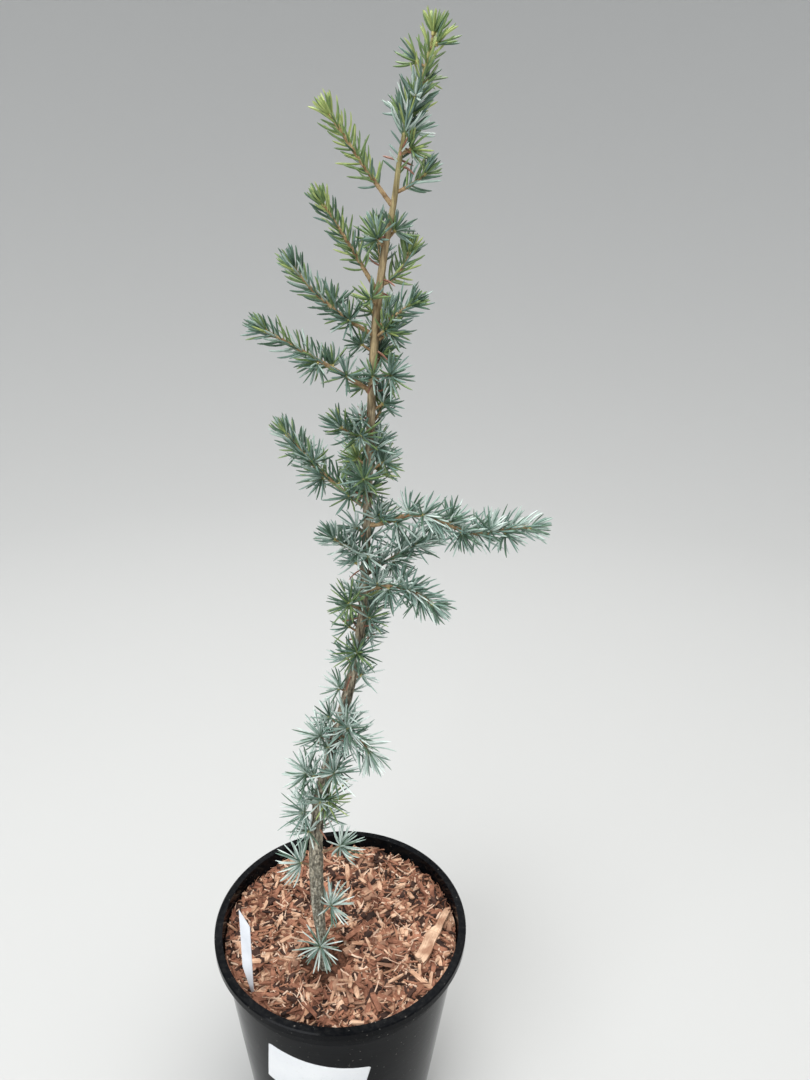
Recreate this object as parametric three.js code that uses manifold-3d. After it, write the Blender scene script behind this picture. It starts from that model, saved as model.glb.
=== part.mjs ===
// A young atlas cedar in a black nursery pot: a slender trunk, a few boughs, and sprays of
// needles that stand on shoots and short spurs, each spray on one stem of its own.
// Millimetres, +Z up, origin at the middle of the pot's flat underside.
import * as THREE from 'three';
import { mergeVertices } from 'three/addons/utils/BufferGeometryUtils.js';
import Module from 'manifold-3d';

const wasm = await Module();
wasm.setup();

// Shared
const gap = 0.3; // between a piece and the one that carries it
const seed = 20731;
const goldenTurn = 137.508; // degrees from one needle to the next round its stem

// Pot, a standard two gallon container
const potHeight = 216;
const rimRadius = 108;
const collarRadius = 103;
const shoulderRadius = 100.3;
const shoulderHeight = 194;
const shoulderStep = 2;
const footRadius = 78;
const footEdge = 3;
const potWall = 1.6;
const lipDrop = 6.5;
const lipEdge = 1;
const potSides = 40;
const drainHoles = 8;
const drainWidth = 14;
const drainHeight = 8;

// Potting mix and the wood chips on top of it
const mixTop = 176;
const chipsTop = 205;
const chipsDip = 4; // how much lower the chips lie against the wall
const lumpHeight = 1.5;
const lumpSpan = 8.5;
const chipRings = 6;
const looseChips = 16;
const chipLength = 11; // the shortest
const chipSpread = 14; // how much longer the longest is
const chipWidth = 4;
const chipThickness = 2;
const chipReach = 97; // how far out a chip may lie
const chipTilt = 0.25;
const soilLevel = 197; // flat seat under the trunk
const seatRadius = 8;
const seatSides = 16;
const hollowRadius = 29;

// Bare label on the wall and bare plant tag in the chips
const labelWidth = 83;
const labelHeight = 51;
const labelThickness = 0.4;
const labelBearing = -98.8;
const labelMiddle = 141.5;
const labelTilt = -9;
const labelSteps = 14;
const tagWidth = 8.5;
const tagLength = 90;
const tagThickness = 0.8;
const tagPoint = 31; // how far up its slanted foot runs
const tagSlant = 15;
const tagTip = 1;
const tagFoot = new THREE.Vector3(-69.3, -62.5, 198);
const tagTurn = -15;

// Trunk: height, sideways and backward place of its centre, and its radius above the flare
const trunkStations = [
  [197, -11, -32.5, 3.7],
  [228, -14, -31, 4.0],
  [262, -17, -28.5, 5.1],
  [301, -18, -26, 5.6],
  [332, -17.5, -23.5, 5.0],
  [363, -14.5, -21.5, 5.0],
  [397, -7, -18.5, 4.8],
  [459, 7.5, -13, 4.1],
  [513, 16, -9, 3.2],
  [571, 18.5, -6, 3.0],
  [648, 20.5, -2.5, 2.9],
  [717, 23, -1, 2.8],
  [764, 28, 0.5, 2.3],
  [791, 33, 1, 1.9],
  [818, 36.5, 2, 1.5],
  [837, 40.5, 2.5, 1.3],
  [852, 46.5, 2.5, 1.1],
  [878, 53, 3.5, 0.8],
];
const trunkTip = 878;
const trunkRings = 42;
const trunkCrowding = 1.2; // how much closer the rings lie at the foot
const trunkSides = 10;
const flareRadius = 1.2;
const flareHeight = 7;

// Limbs
const limbSteps = 24; // of the sum that bends a limb
const limbSpacing = 13; // between the rings of a limb
const limbTaper = 0.4; // share of its radius that a limb loses by its tip
const thinnestLimb = 1.1; // radius at the foot of a limb, which grows with its length
const limbGrowth = 0.0065;
const boughSides = 6;
const twigSides = 3;

// Needles: longer low on the trunk than near its tip
const lowNeedle = 25;
const highNeedle = 13;
const needleSpread = 2; // how much longer or shorter a needle may be
const needleRadius = 0.7;
const needleSink = 0.7; // how far a needle's root runs in behind the middle of its stem
const needleShoulder = 0.7; // how far out from there a needle is widest
const needleClear = 0.4; // between two sprays
const needleTries = 6;
const needleStep = 29; // degrees round the stem from one try to the next
const freshHeight = 729; // greener needles above

// Single needles up a shoot
const firstNeedle = 6; // from the middle of the trunk
const lastNeedle = 0.96; // share of the shoot's length
const singleSpacing = 3.6;
const singleLean = 62;
const singleLeanDrop = 20; // how much less they lean at the tip

// Fans of needles: the number in each, and how far the outermost leans
const rosetteNeedles = 9;
const rosetteLean = 88;
const spurNeedles = 6;
const spurFanLean = 80;
const tuftNeedles = 7;
const tuftLean = 48;
const budRadius = 2.2; // the knob that a fan grows from
const tipBudRadius = 1.8;
const budSeat = 0.6; // share of its radius that a spur's bud stands out of the shoot
const spurLean = 68;
const spurTurn = 60;
const spurRoom = 10; // length of shoot that a spur takes from the single needles
const lastSpur = 0.86; // share of the shoot's length

// Shoots: height of the foot on the trunk, bearing from +X, rise at the foot and at the tip, how far
// the rise sways between, length, length of the bare bough, and number of spurs
const shoots = [
  { name: 'left_1', height: 789, bearing: 190, rise: 50, tip: 54, length: 61, bare: 14 },
  { name: 'left_2', height: 738, bearing: 200, rise: 58, tip: 53, length: 62, bare: 17 },
  { name: 'left_3', height: 713, bearing: 188, rise: 25, tip: 52, length: 65, bare: 14, spurs: 1 },
  { name: 'left_4', height: 677, bearing: 200, rise: 32, tip: 29, length: 79, bare: 17, spurs: 1 },
  { name: 'left_5', height: 646, bearing: 215, rise: 13, tip: 36, length: 25 },
  { name: 'left_6', height: 597, bearing: 160, rise: 26, tip: 47, length: 76, bare: 19, spurs: 4 },
  { name: 'left_7', height: 562, bearing: 215, rise: 36, tip: 36, length: 31, spurs: 1 },
  { name: 'right_1', height: 797, bearing: 12, rise: 20, tip: 43, length: 21 },
  { name: 'right_2', height: 744, bearing: 40, rise: 5, tip: 72, length: 31 },
  { name: 'right_3', height: 717, bearing: -20, rise: 35, tip: 35, length: 28 },
  { name: 'right_4', height: 656, bearing: 35, rise: 29, tip: 88, length: 19 },
  { name: 'right_5', height: 585, bearing: -6, rise: 2, tip: -6, sway: 23, length: 116, bare: 20, spurs: 5 },
  { name: 'right_6', height: 547, bearing: 25, rise: 30, tip: 17, length: 53, bare: 15, spurs: 3 },
  { name: 'right_7', height: 534, bearing: -22, rise: 41, tip: -36, length: 56, bare: 14, spurs: 3 },
  { name: 'right_8', height: 407, bearing: -20, rise: 88, tip: -69, length: 42 },
  { name: 'back_1', height: 752, bearing: 100, rise: 35, tip: 55, length: 34 },
  { name: 'back_2', height: 697, bearing: 80, rise: 28, tip: 45, length: 48, spurs: 1 },
  { name: 'back_3', height: 603, bearing: 105, rise: 22, tip: 35, length: 62, spurs: 2 },
  { name: 'back_4', height: 505, bearing: 75, rise: 25, tip: 5, length: 42, spurs: 1 },
];

// Spurs that stand on the trunk itself, each with one rosette
const trunkSpurRadius = 1.3;
const trunkSpurs = [
  { name: 'top_1', height: 818, bearing: 0, rise: 25, length: 7 },
  { name: 'top_2', height: 770, bearing: 25, rise: 45, length: 8 },
  { name: 'top_3', height: 765, bearing: 215, rise: 45, length: 8 },
  { name: 'middle_1', height: 709, bearing: 15, rise: 28, length: 12 },
  { name: 'middle_2', height: 686, bearing: -35, rise: 14, length: 15 },
  { name: 'middle_3', height: 639, bearing: 70, rise: 5, length: 12 },
  { name: 'middle_4', height: 623, bearing: 5, rise: 34, length: 12 },
  { name: 'middle_5', height: 614, bearing: 262, rise: 29, length: 17 },
  { name: 'middle_6', height: 521, bearing: 235, rise: 35, length: 19 },
  { name: 'middle_7', height: 489, bearing: 275, rise: 20, length: 11 },
  { name: 'low_1', height: 421, bearing: -55, rise: 40, length: 19 },
  { name: 'low_2', height: 411, bearing: 205, rise: 42, length: 15 },
  { name: 'low_3', height: 380, bearing: 195, rise: 30, length: 16 },
  { name: 'low_4', height: 380, bearing: -60, rise: 45, length: 26 },
  { name: 'low_5', height: 356, bearing: -35, rise: 49, length: 14 },
  { name: 'low_6', height: 350, bearing: 198, rise: 13, length: 11 },
  { name: 'low_7', height: 311, bearing: -8, rise: 29, length: 23 },
  { name: 'low_8', height: 299, bearing: 175, rise: 11, length: 13 },
  { name: 'low_9', height: 254, bearing: -15, rise: 43, length: 15 },
  { name: 'low_10', height: 225, bearing: 268, rise: 20, length: 10 },
];

// Leader: short spurs that wind up the top of the trunk, and the bud at its tip
const leaderSpurs = 6;
const leaderStart = 828;
const leaderSpacing = 8.9;
const leaderRise = 25;
const leaderSpurLength = 5.5;
const leaderSpurRadius = 0.8;
const leaderBud = 3;
const leaderNeedles = 12;
const leaderLean = 62;

function finish(color, roughness, metalness = 0) {
  return new THREE.MeshStandardMaterial({ color, roughness, metalness });
}

const finishes = {
  pot: finish(0x161719, 0.35),
  mix: finish(0x3a2a1e, 0.95),
  chips: finish(0x7b5238, 0.9),
  paper: finish(0xe9e9e4, 0.5),
  tag: finish(0xf1f1ec, 0.4),
  bark: finish(0x8a6a4c, 0.85),
  twig: finish(0x9a734c, 0.8),
  blueNeedles: finish(0x7f9c94, 0.6),
  greenNeedles: finish(0x6f9468, 0.6),
};

const tree = new THREE.Group();

function place(name, solid, material) {
  const mesh = new THREE.Mesh(toGeometry(solid), material);
  mesh.name = name;
  tree.add(mesh);
}

function radians(degrees) {
  return THREE.MathUtils.degToRad(degrees);
}

function seededRandom(start) {
  let state = start;
  return () => {
    state = (state * 1664525 + 1013904223) % 4294967296;
    return state / 4294967296;
  };
}

// Solids

function toSolid(geometry) {
  const bare = geometry.clone();
  bare.deleteAttribute('normal');
  bare.deleteAttribute('uv');
  const merged = mergeVertices(bare, 1e-4);
  const vertProperties = Float32Array.from(merged.attributes.position.array);
  const triVerts = Uint32Array.from(merged.index.array);
  return new wasm.Manifold(new wasm.Mesh({ numProp: 3, vertProperties, triVerts }));
}

function toGeometry(solid) {
  const mesh = solid.getMesh();
  const geometry = new THREE.BufferGeometry();
  geometry.setAttribute('position', new THREE.BufferAttribute(mesh.vertProperties, 3));
  geometry.setIndex(new THREE.BufferAttribute(mesh.triVerts, 1));
  geometry.computeVertexNormals();
  return geometry;
}

// The largest body alone, so that scraps and sealed hollows are dropped
function largestBody(solid) {
  const bodies = solid.decompose();
  return bodies.reduce((best, body) => (body.volume() > best.volume() ? body : best));
}

// A round of the profile about +Z
function turned(profile, sides) {
  const points = profile.map(([radius, height]) => new THREE.Vector2(radius, height));
  const geometry = new THREE.LatheGeometry(points, sides);
  geometry.rotateX(Math.PI / 2);
  return geometry;
}

// A rod of the given radii bent along the points, its rings lying as the frames say
function bentRod(points, radii, sides, frames) {
  const rows = points.length - 1;
  const geometry = new THREE.CylinderGeometry(1, 1, 1, sides, rows);
  const position = geometry.attributes.position;
  for (let i = 0; i < position.count; i += 1) {
    const row = Math.round((position.getY(i) + 0.5) * rows);
    const vertex = points[row].clone();
    vertex.addScaledVector(frames[row].side, position.getX(i) * radii[row]);
    vertex.addScaledVector(frames[row].up, position.getZ(i) * radii[row]);
    position.setXYZ(i, vertex.x, vertex.y, vertex.z);
  }
  return toSolid(geometry);
}

// Two directions square to the way ahead at each ring, carried along without a twist
function carriedFrames(ways) {
  let side = new THREE.Vector3(0, -1, 0);
  return ways.map((ahead) => {
    side = side.clone().addScaledVector(ahead, -side.dot(ahead)).normalize();
    return { side, up: side.clone().cross(ahead) };
  });
}

// Pot, fill, label and tag

function potWallRadius(height) {
  const share = (height - footEdge) / (shoulderHeight - footEdge);
  return footRadius + (shoulderRadius - footRadius) * share;
}

function makePot() {
  const insideCollar = collarRadius - potWall;
  const outside = [
    [0, 0],
    [footRadius - footEdge, 0],
    [footRadius, footEdge],
    [shoulderRadius, shoulderHeight],
    [collarRadius - lipEdge, shoulderHeight + shoulderStep],
    [collarRadius, potHeight - potWall],
    [rimRadius - potWall, potHeight - potWall],
    [rimRadius - potWall, potHeight - lipDrop],
    [rimRadius, potHeight - lipDrop],
    [rimRadius, potHeight - lipEdge],
    [rimRadius - lipEdge, potHeight],
  ];
  const inside = [
    [insideCollar, potHeight],
    [insideCollar - lipEdge, shoulderHeight + shoulderStep],
    [shoulderRadius - potWall, shoulderHeight],
    [footRadius - potWall, footEdge + potWall],
    [footRadius - footEdge - potWall, potWall],
    [0, potWall],
  ];
  let pot = toSolid(turned([...outside, ...inside], potSides));
  for (let i = 0; i < drainHoles; i += 1) {
    const hole = new THREE.BoxGeometry(drainHeight * 2, drainWidth, drainHeight * 2);
    hole.translate(footRadius, 0, 0);
    hole.rotateZ(((i + 0.5) / drainHoles) * 2 * Math.PI);
    pot = pot.subtract(toSolid(hole));
  }
  place('pot', pot, finishes.pot);
}

function makeMix() {
  const floor = potWall + gap;
  const profile = [
    [0, floor],
    [footRadius - footEdge - potWall - gap, floor],
    [footRadius - potWall - gap, floor + footEdge],
    [potWallRadius(mixTop) - potWall - gap, mixTop],
    [0, mixTop],
  ];
  place('potting_mix', toSolid(turned(profile, potSides)), finishes.mix);
}

// Height of the chips: lumpy, lower against the wall, and hollow round the trunk
function chipsHeight(x, y) {
  const out = Math.hypot(x, y) / collarRadius;
  const along = x / lumpSpan;
  const across = y / lumpSpan;
  const lumps = Math.sin(1.8 * along + 0.6 * across) * Math.cos(1.5 * across) + Math.sin(along + across);
  const fromTrunk = Math.hypot(x - trunkStations[0][1], y - trunkStations[0][2]);
  const hollow = 1 - THREE.MathUtils.smoothstep(fromTrunk, seatRadius, hollowRadius);
  const open = chipsTop - chipsDip * out ** 3 + lumpHeight * lumps;
  return open + (soilLevel - open) * hollow;
}

function makeChipBed() {
  const bottom = mixTop + gap;
  const rim = collarRadius - potWall - lipEdge - gap;
  const profile = [
    [0, bottom],
    [potWallRadius(bottom) - potWall - gap, bottom],
    [potWallRadius(shoulderHeight) - potWall - gap, shoulderHeight],
    [rim, shoulderHeight + shoulderStep],
  ];
  for (let ring = chipRings; ring >= 0; ring -= 1) {
    profile.push([(rim * ring) / chipRings, chipsTop]);
  }
  const geometry = turned(profile, potSides);
  const position = geometry.attributes.position;
  for (let i = 0; i < position.count; i += 1) {
    if (position.getZ(i) > shoulderHeight + shoulderStep + gap) {
      position.setZ(i, chipsHeight(position.getX(i), position.getY(i)));
    }
  }
  return toSolid(geometry);
}

function makeChips() {
  const random = seededRandom(seed);
  let chips = makeChipBed();
  for (let i = 0; i < looseChips; i += 1) {
    const bearing = radians(i * goldenTurn);
    const length = chipLength + chipSpread * random();
    const out = Math.min(chipReach * Math.sqrt((i + 0.5) / looseChips), chipReach - length / 2);
    const x = out * Math.cos(bearing);
    const y = out * Math.sin(bearing);
    const width = chipWidth * (1 + random());
    const chip = new THREE.BoxGeometry(length, width, chipThickness * (1 + random()));
    chip.rotateX(chipTilt * (2 * random() - 1));
    chip.rotateY(chipTilt * (2 * random() - 1));
    chip.rotateZ(Math.PI * random());
    chip.translate(x, y, chipsHeight(x, y) + chipThickness / 4);
    chips = chips.add(toSolid(chip));
  }
  const seatDepth = chipsTop - soilLevel + 2 * hollowRadius;
  const seat = new THREE.CylinderGeometry(seatRadius, seatRadius, seatDepth, seatSides);
  seat.rotateX(Math.PI / 2);
  seat.translate(trunkStations[0][1], trunkStations[0][2], soilLevel - gap + seatDepth / 2);
  chips = chips.subtract(toSolid(seat));
  chips = chips.subtract(tagSolid(gap));
  place('wood_chips', largestBody(chips), finishes.chips);
}

// The label follows the round of the wall
function makeLabel() {
  const geometry = new THREE.BoxGeometry(labelWidth, labelHeight, labelThickness, labelSteps, 1, 1);
  geometry.rotateZ(radians(labelTilt));
  const position = geometry.attributes.position;
  const middleRadius = potWallRadius(labelMiddle);
  for (let i = 0; i < position.count; i += 1) {
    const height = labelMiddle + position.getY(i);
    const angle = radians(labelBearing) + position.getX(i) / middleRadius;
    const radius = potWallRadius(height) + gap + labelThickness / 2 + position.getZ(i);
    position.setXYZ(i, radius * Math.cos(angle), radius * Math.sin(angle), height);
  }
  place('pot_label', toSolid(geometry), finishes.paper);
}

function tagSolid(grow) {
  const half = tagWidth / 2 + grow;
  const outline = new THREE.Shape();
  outline.moveTo(half - tagTip - grow, -2 * grow);
  outline.lineTo(half, -2 * grow);
  outline.lineTo(half, tagLength - tagSlant);
  outline.lineTo(-half, tagLength);
  outline.lineTo(-half, tagPoint - 2 * grow);
  const depth = tagThickness + 2 * grow;
  const geometry = new THREE.ExtrudeGeometry(outline, { depth, bevelEnabled: false });
  geometry.translate(0, 0, -depth / 2);
  geometry.rotateX(Math.PI / 2);
  geometry.rotateZ(radians(tagTurn));
  geometry.translate(tagFoot.x, tagFoot.y, tagFoot.z);
  return toSolid(geometry);
}

// Trunk

// A smooth value between the stations, which are rows that start with a height
function throughStations(rows, height, column) {
  let i = 0;
  while (i < rows.length - 2 && height > rows[i + 1][0]) {
    i += 1;
  }
  const span = rows[i + 1][0] - rows[i][0];
  const share = THREE.MathUtils.clamp((height - rows[i][0]) / span, 0, 1);
  const before = stationSlope(rows, i, column) * span;
  const after = stationSlope(rows, i + 1, column) * span;
  const start = rows[i][column];
  const rise = rows[i + 1][column] - start;
  const square = share * share;
  const cube = square * share;
  const eased = (3 * square - 2 * cube) * rise;
  return start + eased + (cube - 2 * square + share) * before + (cube - square) * after;
}

function stationSlope(rows, i, column) {
  const before = rows[Math.max(i - 1, 0)];
  const after = rows[Math.min(i + 1, rows.length - 1)];
  return (after[column] - before[column]) / (after[0] - before[0]);
}

function trunkCentre(height) {
  const x = throughStations(trunkStations, height, 1);
  const y = throughStations(trunkStations, height, 2);
  return new THREE.Vector3(x, y, height);
}

function trunkRadius(height) {
  const flare = flareRadius * Math.exp(-(height - soilLevel) / flareHeight);
  return throughStations(trunkStations, height, 3) + flare;
}

function trunkHeights() {
  const heights = [];
  for (let i = 0; i <= trunkRings; i += 1) {
    heights.push(soilLevel + (trunkTip - soilLevel) * (i / trunkRings) ** trunkCrowding);
  }
  return heights;
}

// The trunk's rings lie level, so that its foot is a flat cut
function trunkSolid(grow) {
  const level = { side: new THREE.Vector3(1, 0, 0), up: new THREE.Vector3(0, -1, 0) };
  const heights = trunkHeights();
  const radii = heights.map((height) => trunkRadius(height) + grow);
  return bentRod(heights.map(trunkCentre), radii, trunkSides, heights.map(() => level));
}

// Limbs

// A limb's values where its row says nothing
const plainLimb = { sway: 0, bare: 0, spurs: 0, needles: rosetteNeedles, bud: budRadius };

function makeLimb(row, grow) {
  const radius = thinnestLimb + limbGrowth * row.length;
  const limb = { ...plainLimb, tip: row.rise, radius, ...row, grow };
  return { ...limb, curve: limbCurve(limb) };
}

function limbCurve(limb) {
  const bearing = radians(limb.bearing);
  const outward = new THREE.Vector3(Math.cos(bearing), Math.sin(bearing), 0);
  const points = [trunkCentre(limb.height)];
  for (let i = 0; i < limbSteps; i += 1) {
    const share = (i + 0.5) / limbSteps;
    const swayed = limb.sway * Math.sin(3 * Math.PI * share);
    const rise = radians(limb.rise + (limb.tip - limb.rise) * share + swayed);
    const ahead = outward.clone().multiplyScalar(Math.cos(rise)).setZ(Math.sin(rise));
    points.push(points.at(-1).clone().addScaledVector(ahead, limb.length / limbSteps));
  }
  return new THREE.CatmullRomCurve3(points);
}

function limbRadius(limb, share) {
  return limb.radius * (1 - limbTaper * share);
}

// Where the rings lie on a piece of a limb, as shares of the limb's length
function limbShares(limb, from, to) {
  const count = Math.max(1, Math.round((to - from) / limbSpacing));
  const shares = [];
  for (let i = 0; i <= count; i += 1) {
    shares.push(Math.min((from + ((to - from) * i) / count) / limb.length, 1));
  }
  return shares;
}

function limbSolid(limb, from, to, sides) {
  const shares = limbShares(limb, from, to);
  const points = shares.map((share) => limb.curve.getPointAt(share));
  const radii = shares.map((share) => limbRadius(limb, share));
  const ways = shares.map((share) => limb.curve.getTangentAt(share));
  return bentRod(points, radii, sides, carriedFrames(ways));
}

// What needles keep clear of: straight pieces, each with its radius and its owner
const taken = [];

function take(owner, start, end, radius) {
  taken.push({ owner, line: new THREE.Line3(start, end), radius });
}

function takeTrunk() {
  const heights = trunkHeights();
  for (let i = 0; i < trunkRings; i += 1) {
    take('trunk', trunkCentre(heights[i]), trunkCentre(heights[i + 1]), trunkRadius(heights[i]));
  }
}

function takeLimb(owner, limb, from, to) {
  const shares = limbShares(limb, from, to);
  for (let i = 1; i < shares.length; i += 1) {
    const start = limb.curve.getPointAt(shares[i - 1]);
    take(owner, start, limb.curve.getPointAt(shares[i]), limbRadius(limb, shares[i - 1]));
  }
}

function isFree(owner, line, radius) {
  return taken.every((other) => {
    const near = other.radius + radius + needleClear;
    return other.owner === owner || other.line.distanceSqToLine3(line) > near * near;
  });
}

// Needles

function needleLength(height) {
  return THREE.MathUtils.mapLinear(height, soilLevel, trunkTip, lowNeedle, highNeedle);
}

// A direction that leaves the stem at a lean, turned round it
function leaning(ahead, lean, turn) {
  const upright = Math.abs(ahead.z) > 0.9;
  const level = upright ? new THREE.Vector3(1, 0, 0) : new THREE.Vector3(0, 0, 1);
  const side = level.cross(ahead).normalize();
  const up = ahead.clone().cross(side);
  const out = side.multiplyScalar(Math.cos(radians(turn))).addScaledVector(up, Math.sin(radians(turn)));
  const leant = ahead.clone().multiplyScalar(Math.cos(radians(lean)));
  return leant.addScaledVector(out, Math.sin(radians(lean)));
}

// One needle: a slim three-sided cone whose root runs to a point inside its stem
function needleSolid(root, direction, length) {
  const geometry = new THREE.ConeGeometry(needleRadius, 1, twigSides);
  const turn = new THREE.Quaternion().setFromUnitVectors(new THREE.Vector3(0, 1, 0), direction);
  const position = geometry.attributes.position;
  for (let i = 0; i < position.count; i += 1) {
    const vertex = new THREE.Vector3().fromBufferAttribute(position, i);
    const atMiddle = Math.hypot(vertex.x, vertex.z) < needleRadius / 2;
    if (vertex.y > 0) {
      vertex.y = length;
    } else {
      vertex.y = atMiddle ? -needleSink : needleShoulder;
    }
    vertex.applyQuaternion(turn).add(root);
    position.setXYZ(i, vertex.x, vertex.y, vertex.z);
  }
  return toSolid(geometry);
}

// A spray: one stem, its buds and all its needles, fused into one body
class Spray {
  constructor(name, stem, random) {
    this.name = name;
    this.solids = [stem];
    this.random = random;
  }

  addNeedle(root, ahead, lean, turn) {
    const length = needleLength(root.z) + needleSpread * (2 * this.random() - 1);
    for (let attempt = 0; attempt < needleTries; attempt += 1) {
      const direction = leaning(ahead, lean, turn + needleStep * attempt);
      const tip = root.clone().addScaledVector(direction, length);
      if (isFree(this.name, new THREE.Line3(root, tip), needleRadius)) {
        take(this.name, root, tip, needleRadius);
        this.solids.push(needleSolid(root, direction, length));
        return;
      }
    }
  }

  // Needles that fan out from a bud at the end of a stem
  addFan(root, ahead, count, widest, bud) {
    const knob = new THREE.OctahedronGeometry(bud, 0);
    knob.translate(root.x, root.y, root.z);
    this.solids.push(toSolid(knob));
    const start = 360 * this.random();
    for (let i = 0; i < count; i += 1) {
      const lean = widest * Math.sqrt((i + 0.5) / count);
      this.addNeedle(root, ahead, lean, start + i * goldenTurn);
    }
  }

  // A spur too short for a stem of its own: its bud sits half sunk in the shoot
  addSpur(root, ahead, turn, stemRadius) {
    const direction = leaning(ahead, spurLean, turn);
    const bud = root.clone().addScaledVector(direction, stemRadius / 2 + budSeat * budRadius);
    take(this.name, root, bud, budRadius);
    this.addFan(bud, direction, spurNeedles, spurFanLean, budRadius);
  }

  solid() {
    return largestBody(wasm.Manifold.union(this.solids));
  }
}

// Spurs and single needles up a shoot, and a tuft at its tip
function growShoot(limb, spray) {
  const from = Math.max(limb.bare, firstNeedle);
  const start = from / limb.length;
  for (let i = 0; i < limb.spurs; i += 1) {
    const share = start + ((lastSpur - start) * (i + 0.5)) / limb.spurs;
    const root = limb.curve.getPointAt(share);
    const ahead = limb.curve.getTangentAt(share);
    spray.addSpur(root, ahead, spurTurn + i * goldenTurn, limbRadius(limb, share));
  }
  const singles = Math.round((limb.length - from - spurRoom * limb.spurs) / singleSpacing);
  for (let i = 0; i < singles; i += 1) {
    const share = start + ((lastNeedle - start) * (i + 0.5)) / singles;
    const root = limb.curve.getPointAt(share);
    const lean = singleLean - singleLeanDrop * share;
    spray.addNeedle(root, limb.curve.getTangentAt(share), lean, i * goldenTurn);
  }
  spray.addFan(limb.curve.getPointAt(1), limb.curve.getTangentAt(1), tuftNeedles, tuftLean, tipBudRadius);
}

function growRosette(limb, spray) {
  const end = limb.curve.getPointAt(1);
  spray.addFan(end, limb.curve.getTangentAt(1), limb.needles, rosetteLean, limb.bud);
}

function leaderRows() {
  const rows = [];
  for (let i = 0; i < leaderSpurs; i += 1) {
    rows.push({
      name: `leader_${i + 1}`,
      height: leaderStart + i * leaderSpacing,
      bearing: i * goldenTurn,
      rise: leaderRise,
      length: leaderSpurLength,
      radius: leaderSpurRadius,
      needles: tuftNeedles,
      bud: tipBudRadius,
    });
  }
  return rows;
}

function allLimbs() {
  const rosettes = trunkSpurs.map((row) => ({ radius: trunkSpurRadius, ...row }));
  return [
    ...shoots.map((row) => makeLimb(row, growShoot)),
    ...rosettes.map((row) => makeLimb(row, growRosette)),
    ...leaderRows().map((row) => makeLimb(row, growRosette)),
  ];
}

// The bare part of a limb, cut clear of the trunk
function makeBough(limb, trunkClear) {
  const bough = limbSolid(limb, 0, limb.bare, boughSides).subtract(trunkClear);
  place(`bough_${limb.name}`, largestBody(bough), finishes.twig);
  takeLimb('bough', limb, 0, limb.bare);
}

// The stem that a limb's needles stand on: it starts clear of the bough, or of the trunk
function startSpray(limb, trunkClear) {
  const name = `needles_${limb.name}`;
  const from = limb.bare > 0 ? limb.bare + gap : 0;
  const stem = limbSolid(limb, from, limb.length, limb.spurs > 0 ? boughSides : twigSides);
  takeLimb(name, limb, from, limb.length);
  return new Spray(name, stem.subtract(trunkClear), seededRandom(seed + limb.height));
}

function makeTree() {
  place('trunk', trunkSolid(0), finishes.bark);
  takeTrunk();
  const trunkClear = trunkSolid(gap);
  const limbs = allLimbs();
  for (const limb of limbs.filter((each) => each.bare > 0)) {
    makeBough(limb, trunkClear);
  }
  const sprays = limbs.map((limb) => startSpray(limb, trunkClear));
  limbs.forEach((limb, i) => {
    limb.grow(limb, sprays[i]);
    const tint = limb.height > freshHeight ? finishes.greenNeedles : finishes.blueNeedles;
    place(sprays[i].name, sprays[i].solid(), tint);
  });
}

// The bud at the very top stands on the tip of the trunk
function makeLeaderTip() {
  const top = trunkCentre(trunkTip);
  const ahead = top.clone().sub(trunkCentre(trunkTip - leaderSpacing)).normalize();
  const foot = top.clone().addScaledVector(ahead, gap);
  const end = foot.clone().addScaledVector(ahead, leaderBud);
  const radii = [leaderSpurRadius, leaderSpurRadius];
  const stem = bentRod([foot, end], radii, boughSides, carriedFrames([ahead, ahead]));
  const spray = new Spray('needles_leader_tip', stem, seededRandom(seed));
  spray.addFan(end, ahead, leaderNeedles, leaderLean, tipBudRadius);
  place(spray.name, spray.solid(), finishes.greenNeedles);
}

makePot();
makeMix();
makeChips();
makeLabel();
place('plant_tag', tagSolid(0), finishes.tag);
makeTree();
makeLeaderTip();

export default tree;
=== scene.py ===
from math import copysign, cos, exp, hypot, pi, radians, sin, sqrt, tau

import bpy
from mathutils import Matrix, Quaternion, Vector, noise


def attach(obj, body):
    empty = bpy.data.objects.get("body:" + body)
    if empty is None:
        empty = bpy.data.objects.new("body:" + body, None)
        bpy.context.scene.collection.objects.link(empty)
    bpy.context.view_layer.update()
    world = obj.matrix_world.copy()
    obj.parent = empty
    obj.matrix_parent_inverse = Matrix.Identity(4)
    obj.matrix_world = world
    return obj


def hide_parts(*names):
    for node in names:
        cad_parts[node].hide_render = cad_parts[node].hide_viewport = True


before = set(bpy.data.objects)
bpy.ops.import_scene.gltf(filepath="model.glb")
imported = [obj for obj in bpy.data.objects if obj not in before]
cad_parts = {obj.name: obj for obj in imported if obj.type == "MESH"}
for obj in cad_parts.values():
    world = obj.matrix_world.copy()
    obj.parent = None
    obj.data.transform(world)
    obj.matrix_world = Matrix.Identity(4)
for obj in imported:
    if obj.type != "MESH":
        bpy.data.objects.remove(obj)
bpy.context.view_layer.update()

mm = 0.001
goldenTurn = 137.508  # degrees from one needle to the next round its stem
zAxis = Vector((0, 0, 1))
noise.seed_set(11)  # the same bark in every run


# Node helpers

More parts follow.
